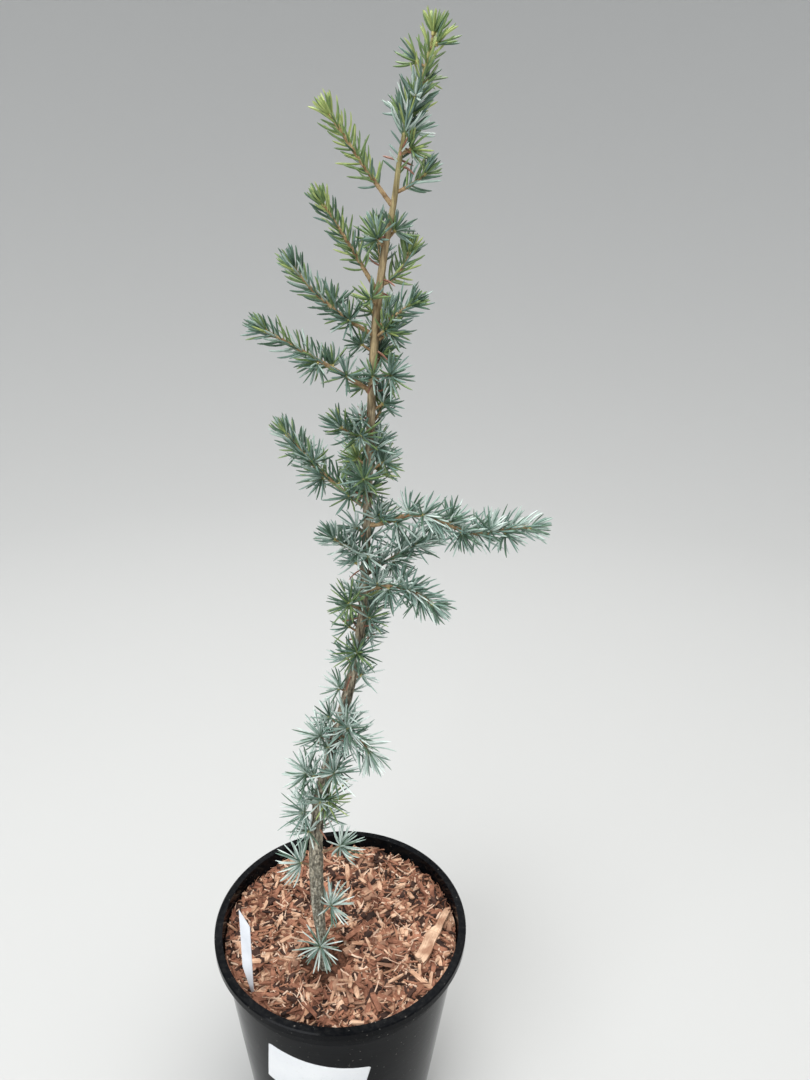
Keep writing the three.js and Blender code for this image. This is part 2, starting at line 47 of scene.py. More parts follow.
class Bench:
    # adds nodes to a tree and joins or sets their sockets in one call
    def __init__(self, tree):
        self.tree = tree

    def add(self, kind, values=None, **settings):
        node = self.tree.nodes.new(kind)
        for name, value in settings.items():
            setattr(node, name, value)
        for key, value in (values or {}).items():
            self.feed(node.inputs[key], value)
        return node

    def feed(self, socket, value):
        if isinstance(value, bpy.types.NodeSocket):
            self.tree.links.new(value, socket)
        else:
            socket.default_value = (*value, 1) if socket.type == "RGBA" else value

    def math(self, operation, first, second=0.0):
        return self.add("ShaderNodeMath", {0: first, 1: second}, operation=operation).outputs[0]

    def mesh(self, kind, values=None, **settings):
        return self.add("GeometryNode" + kind, values, **settings).outputs[0]

    def times(self, first, second):
        return self.math("MULTIPLY", first, second)

    def remap(self, value, low, high, toLow=0.0, toHigh=1.0):
        values = {"Value": value, "From Min": low, "From Max": high, "To Min": toLow, "To Max": toHigh}
        return self.add("ShaderNodeMapRange", values).outputs["Result"]

    def blend(self, factor, first, second, how="MIX"):
        values = {0: factor, 6: first, 7: second}
        return self.add("ShaderNodeMix", values, data_type="RGBA", blend_type=how).outputs[2]

    def vector(self, operation, first, second, result="Vector"):
        return self.add("ShaderNodeVectorMath", {0: first, 1: second}, operation=operation).outputs[result]

    def combine(self, x, y, z):
        return self.add("ShaderNodeCombineXYZ", {0: x, 1: y, 2: z}).outputs[0]

    def parts(self, vector):
        return self.add("ShaderNodeSeparateXYZ", {0: vector}).outputs

    def clouds(self, **values):
        return self.add("ShaderNodeTexNoise", values).outputs

    def shift(self, reach, **values):
        # a small move that differs from place to place
        centred = self.vector("SUBTRACT", self.clouds(**values)["Color"], (0.5, 0.5, 0.5))
        return self.vector("MULTIPLY", centred, reach)


socketTypes = {float: "Float", int: "Int", tuple: "Vector"}


def newGroup(name, inputs, outputs, kind="ShaderNodeTree"):
    # a socket is given by its first value, or by its type where it has none
    tree = bpy.data.node_groups.new(name, kind)
    for direction, sockets in (("INPUT", inputs), ("OUTPUT", outputs)):
        for label, value in sockets.items():
            kind = value if isinstance(value, str) else socketTypes[type(value)]
            socket = tree.interface.new_socket(label, in_out=direction, socket_type="NodeSocket" + kind)
            if kind != value:
                socket.default_value = value
    bench = Bench(tree)
    return tree, bench, bench.add("NodeGroupInput").outputs, bench.add("NodeGroupOutput").inputs


def newNodes(name, inputs):
    # a Geometry Nodes tree that takes the piece's mesh, these inputs and its finish
    inputs = {"Geometry": "Geometry", **inputs, "Finish": "Material"}
    return newGroup(name, inputs, {"Geometry": "Geometry"}, "GeometryNodeTree")


def endNodes(bench, entry, leave, geometry):
    finished = bench.mesh("SetMaterial", {"Geometry": geometry, "Material": entry["Finish"]})
    bench.feed(leave["Geometry"], finished)


# Shader groups that several finishes share

def makeMottleGroup():
    # soft patches between two colours, with a mask for roughness
    inputs = {"Vector": "Vector", "Scale": 40.0, "Detail": 4.0, "Low": 0.35, "High": 0.65,
              "Dark": "Color", "Light": "Color"}
    tree, bench, entry, leave = newGroup("mottle", inputs, {"Color": "Color", "Mask": "Float"})
    patches = bench.clouds(Vector=entry["Vector"], Scale=entry["Scale"], Detail=entry["Detail"])["Fac"]
    mask = bench.remap(patches, entry["Low"], entry["High"])
    bench.feed(leave["Color"], bench.blend(mask, entry["Dark"], entry["Light"]))
    bench.feed(leave["Mask"], mask)
    return tree


def makeFibreGroup():
    # fine lines drawn out along one axis: bark, torn wood, drawn plastic
    inputs = {"Vector": "Vector", "Stretch": (1.0, 1.0, 1.0), "Scale": 100.0}
    tree, bench, entry, leave = newGroup("fibre", inputs, {"Lines": "Float"})
    drawn = bench.vector("MULTIPLY", entry["Vector"], entry["Stretch"])
    lines = bench.clouds(Vector=drawn, Scale=entry["Scale"], Detail=5.0, Roughness=0.62)["Fac"]
    bench.feed(leave["Lines"], bench.remap(lines, 0.3, 0.7))
    return tree


def makeDustGroup():
    # fine dust that settles on what faces up
    inputs = {"Vector": "Vector", "Scale": 300.0, "Amount": 0.3}
    tree, bench, entry, leave = newGroup("settledDust", inputs, {"Mask": "Float"})
    facing = bench.remap(bench.parts(bench.add("ShaderNodeNewGeometry").outputs["Normal"])["Z"], 0.1, 0.9)
    grains = bench.clouds(Vector=entry["Vector"], Scale=entry["Scale"], Detail=6.0, Roughness=0.7)["Fac"]
    settled = bench.times(facing, bench.remap(grains, 0.45, 0.75))
    bench.feed(leave["Mask"], bench.times(settled, entry["Amount"]))
    return tree


mottleGroup = makeMottleGroup()
fibreGroup = makeFibreGroup()
dustGroup = makeDustGroup()


class Finish(Bench):
    # one material: a Principled shader and what feeds it
    def __init__(self, name, roughness=0.5, specular=0.5, coat=0.0):
        self.material = bpy.data.materials.new(name)
        self.material.use_nodes = True
        super().__init__(self.material.node_tree)
        self.tree.nodes.clear()
        values = {"Roughness": roughness, "Specular IOR Level": specular, "Coat Weight": coat}
        self.shader = self.add("ShaderNodeBsdfPrincipled", values)
        self.add("ShaderNodeOutputMaterial", {"Surface": self.shader.outputs[0]})
        self.place = self.add("ShaderNodeTexCoord").outputs["Object"]

    def group(self, tree, values):
        return self.add("ShaderNodeGroup", {"Vector": self.place, **values}, node_tree=tree).outputs

    def mottle(self, **values):
        return self.group(mottleGroup, values)

    def lines(self, **values):
        return self.group(fibreGroup, values)["Lines"]

    def dust(self, **values):
        return self.group(dustGroup, values)["Mask"]

    def height(self):
        return self.parts(self.place)["Z"]

    def attribute(self, name):
        return self.add("ShaderNodeAttribute", attribute_name=name).outputs["Fac"]

    def done(self, color, relief=None, depth=0.0, strength=1.0, roughness=None):
        # joins up the shader and hands over the material
        self.feed(self.shader.inputs["Base Color"], color)
        if roughness is not None:
            self.feed(self.shader.inputs["Roughness"], roughness)
        if relief is not None:
            values = {"Height": relief, "Distance": depth, "Strength": strength}
            self.feed(self.shader.inputs["Normal"], self.add("ShaderNodeBump", values).outputs[0])
        return self.material


# Mesh helpers

def addObject(name, data):
    thing = bpy.data.objects.new(name, data)
    bpy.context.collection.objects.link(thing)
    return thing


def newPiece(name, vertices, faces, material=None, smooth=True, edges=()):
    mesh = bpy.data.meshes.new(name)
    mesh.from_pydata([tuple(v) for v in vertices], edges, faces)
    mesh.polygons.foreach_set("use_smooth", [smooth] * len(mesh.polygons))
    if material:
        mesh.materials.append(material)
    mesh.update()
    return addObject(name, mesh)


def settle(piece):
    # applies what modifiers the piece has and leaves a plain mesh
    bpy.context.view_layer.update()
    graph = bpy.context.evaluated_depsgraph_get()
    mesh = bpy.data.meshes.new_from_object(piece.evaluated_get(graph))
    piece.modifiers.clear()
    piece.data = mesh


def modify(piece, kind, **settings):
    modifier = piece.modifiers.new(kind.lower(), kind)
    for name, value in settings.items():
        setattr(modifier, name, value)
    settle(piece)


def runNodes(piece, tree, values):
    # runs a Geometry Nodes tree on the piece, its inputs given by name
    modifier = piece.modifiers.new(tree.name, "NODES")
    modifier.node_group = tree
    for item in tree.interface.items_tree:
        if item.in_out == "INPUT" and item.name in values:
            modifier[item.identifier] = values[item.name]
    settle(piece)


def placeOn(piece, slot, *nodes):
    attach(piece, "root")
    if nodes:
        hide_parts(*nodes)


def turnedMesh(name, profile, steps, material):
    # a profile of (radius, height) turned about Z; it starts and ends on the axis
    vertices, rings = [], []
    for radius, height in profile:
        if radius == 0:
            rings.append([len(vertices)] * steps)
            vertices.append((0, 0, height * mm))
            continue
        rings.append(list(range(len(vertices), len(vertices) + steps)))
        for angle in turns(steps):
            vertices.append((radius * mm * cos(angle), radius * mm * sin(angle), height * mm))
    faces = []
    for lower, upper in zip(rings, rings[1:]):
        for step in range(steps):
            after = (step + 1) % steps
            corners = [lower[step], lower[after], upper[after], upper[step]]
            faces.append(list(dict.fromkeys(corners)))
    return newPiece(name, vertices, faces, material)


def rodMesh(rings, flip=False):
    # vertices and faces of a closed rod; each ring is a list of points
    vertices = [point for ring in rings for point in ring]
    sides = len(rings[0])
    faces = []
    for low in range(0, len(vertices) - sides, sides):
        high = low + sides
        for side in range(sides):
            after = (side + 1) % sides
            faces.append((low + side, low + after, high + after, high + side))
    faces.append(tuple(reversed(range(sides))))
    faces.append(tuple(range(len(vertices) - sides, len(vertices))))
    return vertices, [face[::-1] for face in faces] if flip else faces


def joined(parts):
    # one list of vertices and one of faces out of several
    vertices, faces = [], []
    for partVertices, partFaces in parts:
        start = len(vertices)
        vertices.extend(partVertices)
        faces.extend(tuple(start + index for index in face) for face in partFaces)
    return vertices, faces


def clamped(value):
    return min(max(value, 0.0), 1.0)


def turns(count):
    # the angles of evenly spaced steps round a full turn
    return [2 * pi * step / count for step in range(count)]


def rowAt(rows, height):
    # the row that a height follows, the span to the next and the share of it
    index = 0
    while index < len(rows) - 2 and height > rows[index + 1][0]:
        index += 1
    span = rows[index + 1][0] - rows[index][0]
    return index, span, clamped((height - rows[index][0]) / span)


# Camera, floor and light

studio = {
    "cameraPlace": (45.64, -528.38, 786.89),
    "cameraPitch": 22.087,  # degrees down
    "cameraRoll": 1.634,
    "focalPixels": 810.28,  # in a frame 1080 high
    "frameHeight": 1080,
    "sensor": 36.0,
    "floorColor": (0.47, 0.47, 0.46),
    "floorRings": (510, 1700),
    "floorSteps": 96,
    "wallRadius": 5200,
    "wallHeight": 5200,
    "bendSteps": 48,
    "skyColor": (0.93, 0.96, 1.0),
    "skyStrength": 1.12,
    "aim": (0, 0, 0.45),
}
lights = {
    "topLight": {"place": (0.2, 0.1, 2.7), "size": (2.4, 2.0), "power": 68.0, "color": (1.0, 0.985, 0.96)},
    "keyLight": {"place": (-1.2, -1.8, 2.0), "size": (1.8, 1.5), "power": 56.0, "color": (0.96, 0.98, 1.0)},
}


def makeCamera():
    pitch, roll = radians(studio["cameraPitch"]), radians(studio["cameraRoll"])
    ahead = Vector((0, cos(pitch), -sin(pitch)))
    level = Vector((1, 0, 0))
    upright = Vector((0, sin(pitch), cos(pitch)))
    right = level * cos(roll) + upright * sin(roll)
    up = upright * cos(roll) - level * sin(roll)
    data = bpy.data.cameras.new("camera")
    data.sensor_width = studio["sensor"]
    data.lens = studio["focalPixels"] / studio["frameHeight"] * studio["sensor"]
    data.clip_start = 0.02
    camera = addObject("camera", data)
    turn = Matrix((right, up, -ahead)).transposed().to_4x4()
    camera.matrix_world = Matrix.Translation(Vector(studio["cameraPlace"]) * mm) @ turn
    bpy.context.scene.camera = camera


def makeFloor():
    finish = Finish("floorFinish", 0.9).done(studio["floorColor"])
    inner, flat = studio["floorRings"]
    far, steps = studio["wallRadius"], studio["bendSteps"]
    bend = far - flat
    profile = [(0, 0), (inner, 0), (flat, 0)]
    for step in range(1, steps + 1):
        angle = pi / 2 * step / steps
        profile.append((flat + bend * sin(angle), bend * (1 - cos(angle))))
    profile.append((far, studio["wallHeight"]))
    floor = turnedMesh("floor", profile, studio["floorSteps"], finish)
    floor.data.flip_normals()


def makeLight(name, light):
    data = bpy.data.lights.new(name, "AREA")
    data.shape = "RECTANGLE"
    data.size, data.size_y = light["size"]
    data.energy = light["power"]
    data.color = light["color"]
    lamp = addObject(name, data)
    lamp.location = light["place"]
    aim = Vector(studio["aim"]) - lamp.location
    lamp.rotation_euler = aim.to_track_quat("-Z", "Y").to_euler()


def makeStudio():
    makeCamera()
    makeFloor()
    world = bpy.data.worlds.new("sky")
    world.use_nodes = True
    background = world.node_tree.nodes["Background"]
    background.inputs["Color"].default_value = (*studio["skyColor"], 1)
    background.inputs["Strength"].default_value = studio["skyStrength"]
    bpy.context.scene.world = world
    for name, light in lights.items():
        makeLight(name, light)
    bpy.context.scene.view_settings.view_transform = "Standard"
    print("studio: camera, floor and lights")


# Pot

pot = {
    "height": 216.0,
    "rimRadius": 108.0,
    "collarRadius": 103.0,
    "shoulderRadius": 100.3,
    "shoulderHeight": 194.0,
    "shoulderStep": 2.0,
    "wallRings": (60, 125),
    "footRadius": 78.0,
    "footEdge": 3.0,
    "wall": 1.6,
    "lipDrop": 6.5,
    "lipEdge": 1.0,
    "steps": 180,
    "drainHoles": 8,
    "drainWidth": 14.0,
    "drainHeight": 8.0,
    "rounding": 0.55,
    "sharpest": 24,  # degrees from which an edge is rounded
}


def wallRadius(height):
    share = (height - pot["footEdge"]) / (pot["shoulderHeight"] - pot["footEdge"])
    return pot["footRadius"] + (pot["shoulderRadius"] - pot["footRadius"]) * share


def potFinish():
    finish = Finish("potPlastic", specular=0.05)
    smudges = finish.mottle(Scale=22.0, Detail=7.0, Low=0.42, High=0.72,
                            Dark=(0.003, 0.0034, 0.0042), Light=(0.008, 0.0085, 0.0098))
    specks = finish.mottle(Scale=380.0, Detail=2.0, Low=0.69, High=0.75)["Mask"]
    soiled = finish.math("ADD", finish.dust(Scale=260.0, Amount=0.06), finish.times(specks, 0.5))
    color = finish.blend(soiled, smudges["Color"], (0.2, 0.19, 0.17))
    drawn = finish.lines(Stretch=(1.0, 1.0, 14.0), Scale=9.0)
    rough = finish.math("ADD", finish.remap(smudges["Mask"], 0.0, 1.0, 0.09, 0.2), finish.times(soiled, 0.9))
    return finish.done(color, drawn, 0.00012, 0.35, rough)


def makePot(finish):
    wall, edge, foot, height = pot["wall"], pot["lipEdge"], pot["footRadius"], pot["height"]
    collar, shoulder, rim = pot["collarRadius"], pot["shoulderRadius"], pot["rimRadius"]
    shoulderTop = pot["shoulderHeight"] + pot["shoulderStep"]
    lipLow = height - pot["lipDrop"]
    profile = [
        (0, 0),
        (foot - pot["footEdge"], 0),
        (foot, pot["footEdge"]),
        *((wallRadius(level), level) for level in pot["wallRings"]),
        (shoulder, pot["shoulderHeight"]),
        (collar - edge, shoulderTop),
        (collar, height - wall),
        (rim - wall, height - wall),
        (rim - wall, lipLow),
        (rim, lipLow),
        (rim, height - edge),
        (rim - edge, height),
        (collar - wall, height),
        (collar - wall - edge, shoulderTop),
        (shoulder - wall, pot["shoulderHeight"]),
        (foot - wall, pot["footEdge"] + wall),
        (foot - pot["footEdge"] - wall, wall),
        (0, wall),
    ]
    shell = turnedMesh("potShell", profile, pot["steps"], finish)
    boxes, tall = [], pot["drainHeight"]
    boxFaces = [(0, 1, 3, 2), (4, 6, 7, 5), (0, 4, 5, 1), (2, 3, 7, 6), (0, 2, 6, 4), (1, 5, 7, 3)]
    for hole in range(pot["drainHoles"]):
        turn = Matrix.Rotation(2 * pi * (hole + 0.5) / pot["drainHoles"], 3, "Z")
        corners = [turn @ Vector((foot + x * tall, y * pot["drainWidth"] / 2, z * tall)) * mm
                   for x in (-1, 1) for y in (-1, 1) for z in (-1, 1)]
        boxes.append((corners, boxFaces))
    cutter = newPiece("drainCutter", *joined(boxes), finish)
    modify(shell, "BOOLEAN", operation="DIFFERENCE", solver="EXACT", object=cutter)
    bpy.data.objects.remove(cutter)
    modify(shell, "BEVEL", width=pot["rounding"] * mm, segments=3, limit_method="ANGLE",
           angle_limit=radians(pot["sharpest"]), harden_normals=True)
    placeOn(shell, "pot_plastic", "pot")
    print("pot:", len(shell.data.polygons), "faces")


# Label and tag

label = {"width": 83.0, "height": 51.0, "thickness": 0.38, "seat": -0.06, "bearing": -98.8, "middle": 141.5,
         "tilt": -9.0, "columns": 96, "rows": 40, "cornerRound": 2.4, "wave": 0.05, "cornerLift": 0.25}


def labelFinish():
    finish = Finish("labelPaper", 0.42, 0.45, coat=0.15)
    stain = finish.mottle(Scale=26.0, Detail=5.0, Low=0.3, High=0.7,
                          Dark=(0.74, 0.76, 0.79), Light=(0.83, 0.845, 0.86))
    specks = finish.mottle(Scale=520.0, Detail=3.0, Low=0.62, High=0.74)["Mask"]
    soiled = finish.math("ADD", finish.times(specks, 0.25), finish.dust(Scale=340.0, Amount=0.5))
    return finish.done(finish.blend(soiled, stain["Color"], (0.5, 0.47, 0.42)), stain["Mask"], 0.0003, 0.5)


def makeLabel(finish):
    vertices, faces = [], []
    columns, rows, rounding = label["columns"], label["rows"], label["cornerRound"]
    tilt = radians(label["tilt"])
    halfWidth, halfHeight = label["width"] / 2, label["height"] / 2
    for row in range(rows + 1):
        for column in range(columns + 1):
            u = halfWidth * (2 * column / columns - 1)
            v = halfHeight * (2 * row / rows - 1)
            trim = max(0.0, abs(u) - halfWidth + rounding)
            v = copysign(min(abs(v), halfHeight - 0.5 * trim * trim / rounding), v)
            across = u * cos(tilt) - v * sin(tilt)
            height = label["middle"] + u * sin(tilt) + v * cos(tilt)
            wave = label["wave"] * noise.noise(Vector((u * 0.06, v * 0.08, 3.1)))
            lift = label["cornerLift"] * max(0.0, (abs(u) / halfWidth) ** 12 * (abs(v) / halfHeight) ** 8)
            radius = wallRadius(height) + label["seat"] + wave + lift
            angle = radians(label["bearing"]) + across / wallRadius(label["middle"])
            vertices.append(Vector((radius * cos(angle), radius * sin(angle), height)) * mm)
    for row in range(rows):
        for column in range(columns):
            low = row * (columns + 1) + column
            faces.append((low, low + 1, low + columns + 2, low + columns + 1))
    sticker = newPiece("potLabel", vertices, faces, finish)
    modify(sticker, "SOLIDIFY", thickness=label["thickness"] * mm, offset=1.0)
    placeOn(sticker, "label", "pot_label")
    print("label")


tag = {"width": 8.5, "length": 90.0, "thickness": 0.8, "point": 31.0, "slant": 15.0, "tip": 1.0,
       "turn": -15.0, "foot": (-69.3, -62.5, 198.0), "rows": 60, "bow": 0.14, "softEdge": 0.18}


def tagFinish():
    finish = Finish("tagPlastic", 0.34, 0.5)
    worn = finish.mottle(Scale=60.0, Detail=6.0, Low=0.35, High=0.68,
                         Dark=(0.66, 0.69, 0.74), Light=(0.8, 0.82, 0.86))
    scratches = finish.lines(Stretch=(6.0, 6.0, 0.7), Scale=110.0)
    soil = finish.times(finish.remap(finish.height(), 0.226, 0.199, 0.0, 0.55), worn["Mask"])
    soiled = finish.math("ADD", soil, finish.dust(Scale=500.0, Amount=0.7))
    return finish.done(finish.blend(soiled, worn["Color"], (0.2, 0.12, 0.07)), scratches, 0.0001, 0.4)


def makeTag(finish):
    half, thick = tag["width"] / 2, tag["thickness"] / 2
    turn = Matrix.Rotation(radians(tag["turn"]), 3, "Z")
    rings = []
    for row in range(tag["rows"] + 1):
        share = row / tag["rows"]
        leftHeight, rightHeight = share * tag["length"], share * (tag["length"] - tag["slant"])
        narrowed = (tag["width"] - tag["tip"]) * leftHeight / tag["point"]
        left = -half if leftHeight > tag["point"] else half - tag["tip"] - narrowed
        corners = ((left, leftHeight, -thick), (half, rightHeight, -thick),
                   (half, rightHeight, thick), (left, leftHeight, thick))
        ring = []
        for x, height, y in corners:
            bow = tag["bow"] * sin(pi * share) * (1 - (x / half) ** 2)
            ring.append((turn @ Vector((x, y + bow, height)) + Vector(tag["foot"])) * mm)
        rings.append(ring)
    strip = newPiece("plantTag", *rodMesh(rings), finish, smooth=False)
    modify(strip, "BEVEL", width=tag["softEdge"] * mm, segments=2, limit_method="ANGLE")
    placeOn(strip, "tag", "plant_tag")
    print("tag")


# Wood chips

chips = {
    "top": 205.0,
    "dip": 4.0,  # how much lower they lie against the wall
    "lumpHeight": 1.5,
    "lumpSpan": 8.5,
    "crumbHeight": 1.3,
    "bedDepth": 1.2,  # how far the bed lies under the level of the chips
    "soilLevel": 197.0,
    "seatRadius": 8.0,
    "hollowRadius": 29.0,
    "bareRadius": 20.0,  # no chips this near the trunk
    "mixTop": 176.3,
    "gap": 2.0,  # between the bed and the pot's wall
    "rim": 99.8,
    "rings": 84,
    "steps": 260,
}

# how many to a square metre; length, width and thickness in millimetres; tilt, seed, light and dark colour
chipColumns = ("density", "length", "width", "thickness", "tilt", "seed", "light", "dark")
chipKinds = {
    "chipsRust": (19000.0, (10, 29), 3.1, 1.5, 0.45, 3, (0.44, 0.205, 0.125), (0.16, 0.064, 0.038)),
    "chipsTan": (12500.0, (10, 29), 2.8, 1.4, 0.45, 11, (0.8, 0.54, 0.37), (0.42, 0.225, 0.135)),
    "chipsDark": (16000.0, (8, 22), 3.2, 1.6, 0.4, 23, (0.085, 0.041, 0.029), (0.022, 0.011, 0.008)),
    "chipsLarge": (2000.0, (16, 34), 6.2, 2.2, 0.2, 37, (0.52, 0.31, 0.2), (0.24, 0.125, 0.08)),
    "shredsRust": (38000.0, (9, 29), 1.1, 0.8, 0.45, 51, (0.52, 0.26, 0.155), (0.2, 0.082, 0.05)),
    "shredsPale": (27000.0, (8, 27), 0.95, 0.7, 0.45, 67, (0.9, 0.7, 0.53), (0.64, 0.4, 0.275)),
}
flake = {
    "stoutness": (0.35, 1.5),  # least and most, as a share of width and thickness
    "narrowing": 0.3,  # of the ends
    "tearScale": 260.0,
    "tear": (0.003, 0.003, 0.0018),
}

longChip = {"start": (68, -33, 207.5), "end": (91.5, 19, 208.5), "width": 10.5, "thickness": 3.6,
            "rings": 44, "columns": 9, "narrowing": 0.1, "ragged": 0.1, "wander": 1.1, "rough": 0.4125,
            "splitAt": 0.56, "splitWidth": 0.62, "splitDepth": 1.3, "splitSpan": 0.02, "splitShift": 1.4,
            "fray": 6.0, "frayFrom": 0.88,
            "light": (0.74, 0.52, 0.36), "dark": (0.34, 0.185, 0.115)}

# the bed, the potting mix and the buds: roughness and gloss, depth and strength of the relief, and the grain
grainColumns = ("Scale", "Detail", "Low", "High", "Dark", "Light")
crumbly = {
    "chipBedFinish": ((0.95, 0.15), (0.0012, 0.8),
                      (330.0, 6.0, 0.35, 0.68, (0.03, 0.014, 0.009), (0.16, 0.07, 0.042))),
    "mixFinish": ((0.97, 0.1), (0.002, 1.0),
                  (240.0, 8.0, 0.3, 0.72, (0.018, 0.011, 0.007), (0.1, 0.06, 0.038))),
    "budScales": ((0.6, 0.3), (0.0003, 0.6),
                  (900.0, 2.0, 0.4, 0.6, (0.25, 0.19, 0.065), (0.55, 0.5, 0.2))),
}


def crumbFinish(name):
    surface, relief, grain = crumbly[name]
    finish = Finish(name, *surface)
    crumbs = finish.mottle(**dict(zip(grainColumns, grain)))
    return finish.done(crumbs["Color"], crumbs["Mask"], *relief)


def chipsHeight(x, y):
    out = hypot(x, y) / pot["collarRadius"]
    along, across = x / chips["lumpSpan"], y / chips["lumpSpan"]
    lumps = sin(1.8 * along + 0.6 * across) * cos(1.5 * across) + sin(along + across)
    fromTrunk = hypot(x - trunkStations[0][1], y - trunkStations[0][2])
    share = clamped((fromTrunk - chips["seatRadius"]) / (chips["hollowRadius"] - chips["seatRadius"]))
    hollow = 1 - share * share * (3 - 2 * share)
    level = chips["top"] - chips["dip"] * out ** 3 + chips["lumpHeight"] * lumps
    return level + (chips["soilLevel"] - level) * hollow


def chipFinish(name, light, dark):
    finish = Finish(name + "Finish", 0.82, 0.25)
    unrolled = finish.add("ShaderNodeUVMap", uv_map="UVMap").outputs["UV"]
    lines = finish.lines(Vector=unrolled, Stretch=(1.2, 22.0, 1.0), Scale=1.6)
    patches = finish.mottle(Scale=95.0, Detail=3.0, Low=0.36, High=0.64, Dark=dark, Light=light)
    color = finish.blend(finish.remap(lines, 0.35, 1.0, 0.0, 0.85), patches["Color"], dark)
    return finish.done(color, lines, 0.0004, 0.9)


def makeChipTree():
    # flakes strewn over the upward faces, each torn a little differently
    tree, bench, entry, leave = newNodes("strewnChips", {
        "Density": 1000.0, "Shortest": 0.008, "Longest": 0.02, "Width": 0.004, "Thickness": 0.001,
        "Tilt": 0.4, "Lift": 0.0008, "Seed": 0, "Trunk": (0, 0, 0), "Bare": 0.01})
    times, seed = bench.times, entry["Seed"]
    level = bench.vector("MULTIPLY", bench.mesh("InputPosition"), (1, 1, 0))
    away = bench.vector("DISTANCE", level, entry["Trunk"], "Value")
    clear = bench.remap(away, entry["Bare"], times(entry["Bare"], 1.5))
    facing = times(bench.math("GREATER_THAN", bench.parts(bench.mesh("InputNormal"))["Z"], 0.3), clear)
    values = {"Mesh": entry["Geometry"], "Density": times(entry["Density"], facing), "Seed": seed}
    spread = bench.mesh("DistributePointsOnFaces", values, distribute_method="RANDOM")
    points = bench.mesh("SetPosition", {"Geometry": spread, "Offset": bench.combine(0.0, 0.0, entry["Lift"])})

    values = {"Size": (1, 1, 1), "Vertices X": 6, "Vertices Y": 3, "Vertices Z": 2}
    cube = bench.add("GeometryNodeMeshCube", values)
    values = {"Geometry": cube.outputs["Mesh"], "Name": "UVMap", "Value": cube.outputs["UV Map"]}
    unrolled = bench.mesh("StoreNamedAttribute", values, data_type="FLOAT2", domain="CORNER")
    # the ends narrow, the more so the nearer they are to the tips
    x, y, z = bench.parts(bench.mesh("InputPosition"))
    endward = bench.math("POWER", bench.math("ABSOLUTE", times(x, 2.0)), 4.0)
    narrow = bench.math("SUBTRACT", 1.0, times(endward, flake["narrowing"]))
    narrowed = bench.combine(x, times(y, narrow), times(z, narrow))
    shaped = bench.mesh("SetPosition", {"Geometry": unrolled, "Position": narrowed})

    def chance(low, high, seed, kind="FLOAT", first=2):
        # the sockets differ with the kind of value
        values = {first: low, first + 1: high, "Seed": seed}
        return bench.add("FunctionNodeRandomValue", values, data_type=kind).outputs[first // 2]

    length = chance(entry["Shortest"], entry["Longest"], seed)
    stout = chance(*flake["stoutness"], bench.math("ADD", seed, 5.0))
    size = bench.combine(length, times(entry["Width"], stout), times(entry["Thickness"], stout))
    tilt, lean = entry["Tilt"], times(entry["Tilt"], -1.0)
    turn = chance(bench.combine(lean, lean, 0.0), bench.combine(tilt, tilt, tau),
                  bench.math("ADD", seed, 9.0), "FLOAT_VECTOR", 0)
    values = {"Points": points, "Instance": shaped, "Rotation": turn, "Scale": size}
    real = bench.mesh("RealizeInstances", {"Geometry": bench.mesh("InstanceOnPoints", values)})
    torn = bench.shift(flake["tear"], Scale=flake["tearScale"], Detail=2.0)
    endNodes(bench, entry, leave, bench.mesh("SetPosition", {"Geometry": real, "Offset": torn}))
    return tree


def makeChips():
    bottom, rim, shoulder, count = chips["mixTop"], chips["rim"], pot["shoulderHeight"], chips["rings"]
    profile = [(0, bottom), *((wallRadius(level) - chips["gap"], level) for level in (bottom, shoulder)),
               (rim, shoulder + pot["shoulderStep"])]
    profile += [(rim * ring / count, chips["top"]) for ring in range(count, -1, -1)]
    bed = turnedMesh("chipBed", profile, chips["steps"], crumbFinish("chipBedFinish"))
    for vertex in bed.data.vertices:
        if vertex.co.z > (chips["top"] - 1) * mm:
            x, y = vertex.co.x / mm, vertex.co.y / mm
            crumbs = chips["crumbHeight"] * noise.fractal(Vector((x, y, 0)) * 0.28, 0.9, 2.1, 4)
            vertex.co.z = (chipsHeight(x, y) - chips["bedDepth"] + crumbs) * mm
    tree = makeChipTree()
    trunkFoot = Vector((trunkStations[0][1], trunkStations[0][2], 0))
    for name, row in chipKinds.items():
        kind = dict(zip(chipColumns, row))
        strewn = addObject(name, bed.data.copy())
        runNodes(strewn, tree, {
            "Density": kind["density"], "Shortest": kind["length"][0] * mm, "Longest": kind["length"][1] * mm,
            "Width": kind["width"] * mm, "Thickness": kind["thickness"] * mm, "Tilt": kind["tilt"],
            "Seed": kind["seed"], "Finish": chipFinish(name, kind["light"], kind["dark"]),
            "Bare": chips["bareRadius"] * mm, "Trunk": trunkFoot * mm})
        keepInside(strewn, rim * mm)
        placeOn(strewn, "wood_chips", "wood_chips")
        print(name, len(strewn.data.polygons), "faces")
    placeOn(bed, "wood_chips", "wood_chips")
    makeLongChip()


def keepInside(piece, reach):
    # what would stand out past the wall is drawn in to it
    for vertex in piece.data.vertices:
        out = hypot(vertex.co.x, vertex.co.y)
        if out > reach:
            vertex.co.x *= reach / out
            vertex.co.y *= reach / out


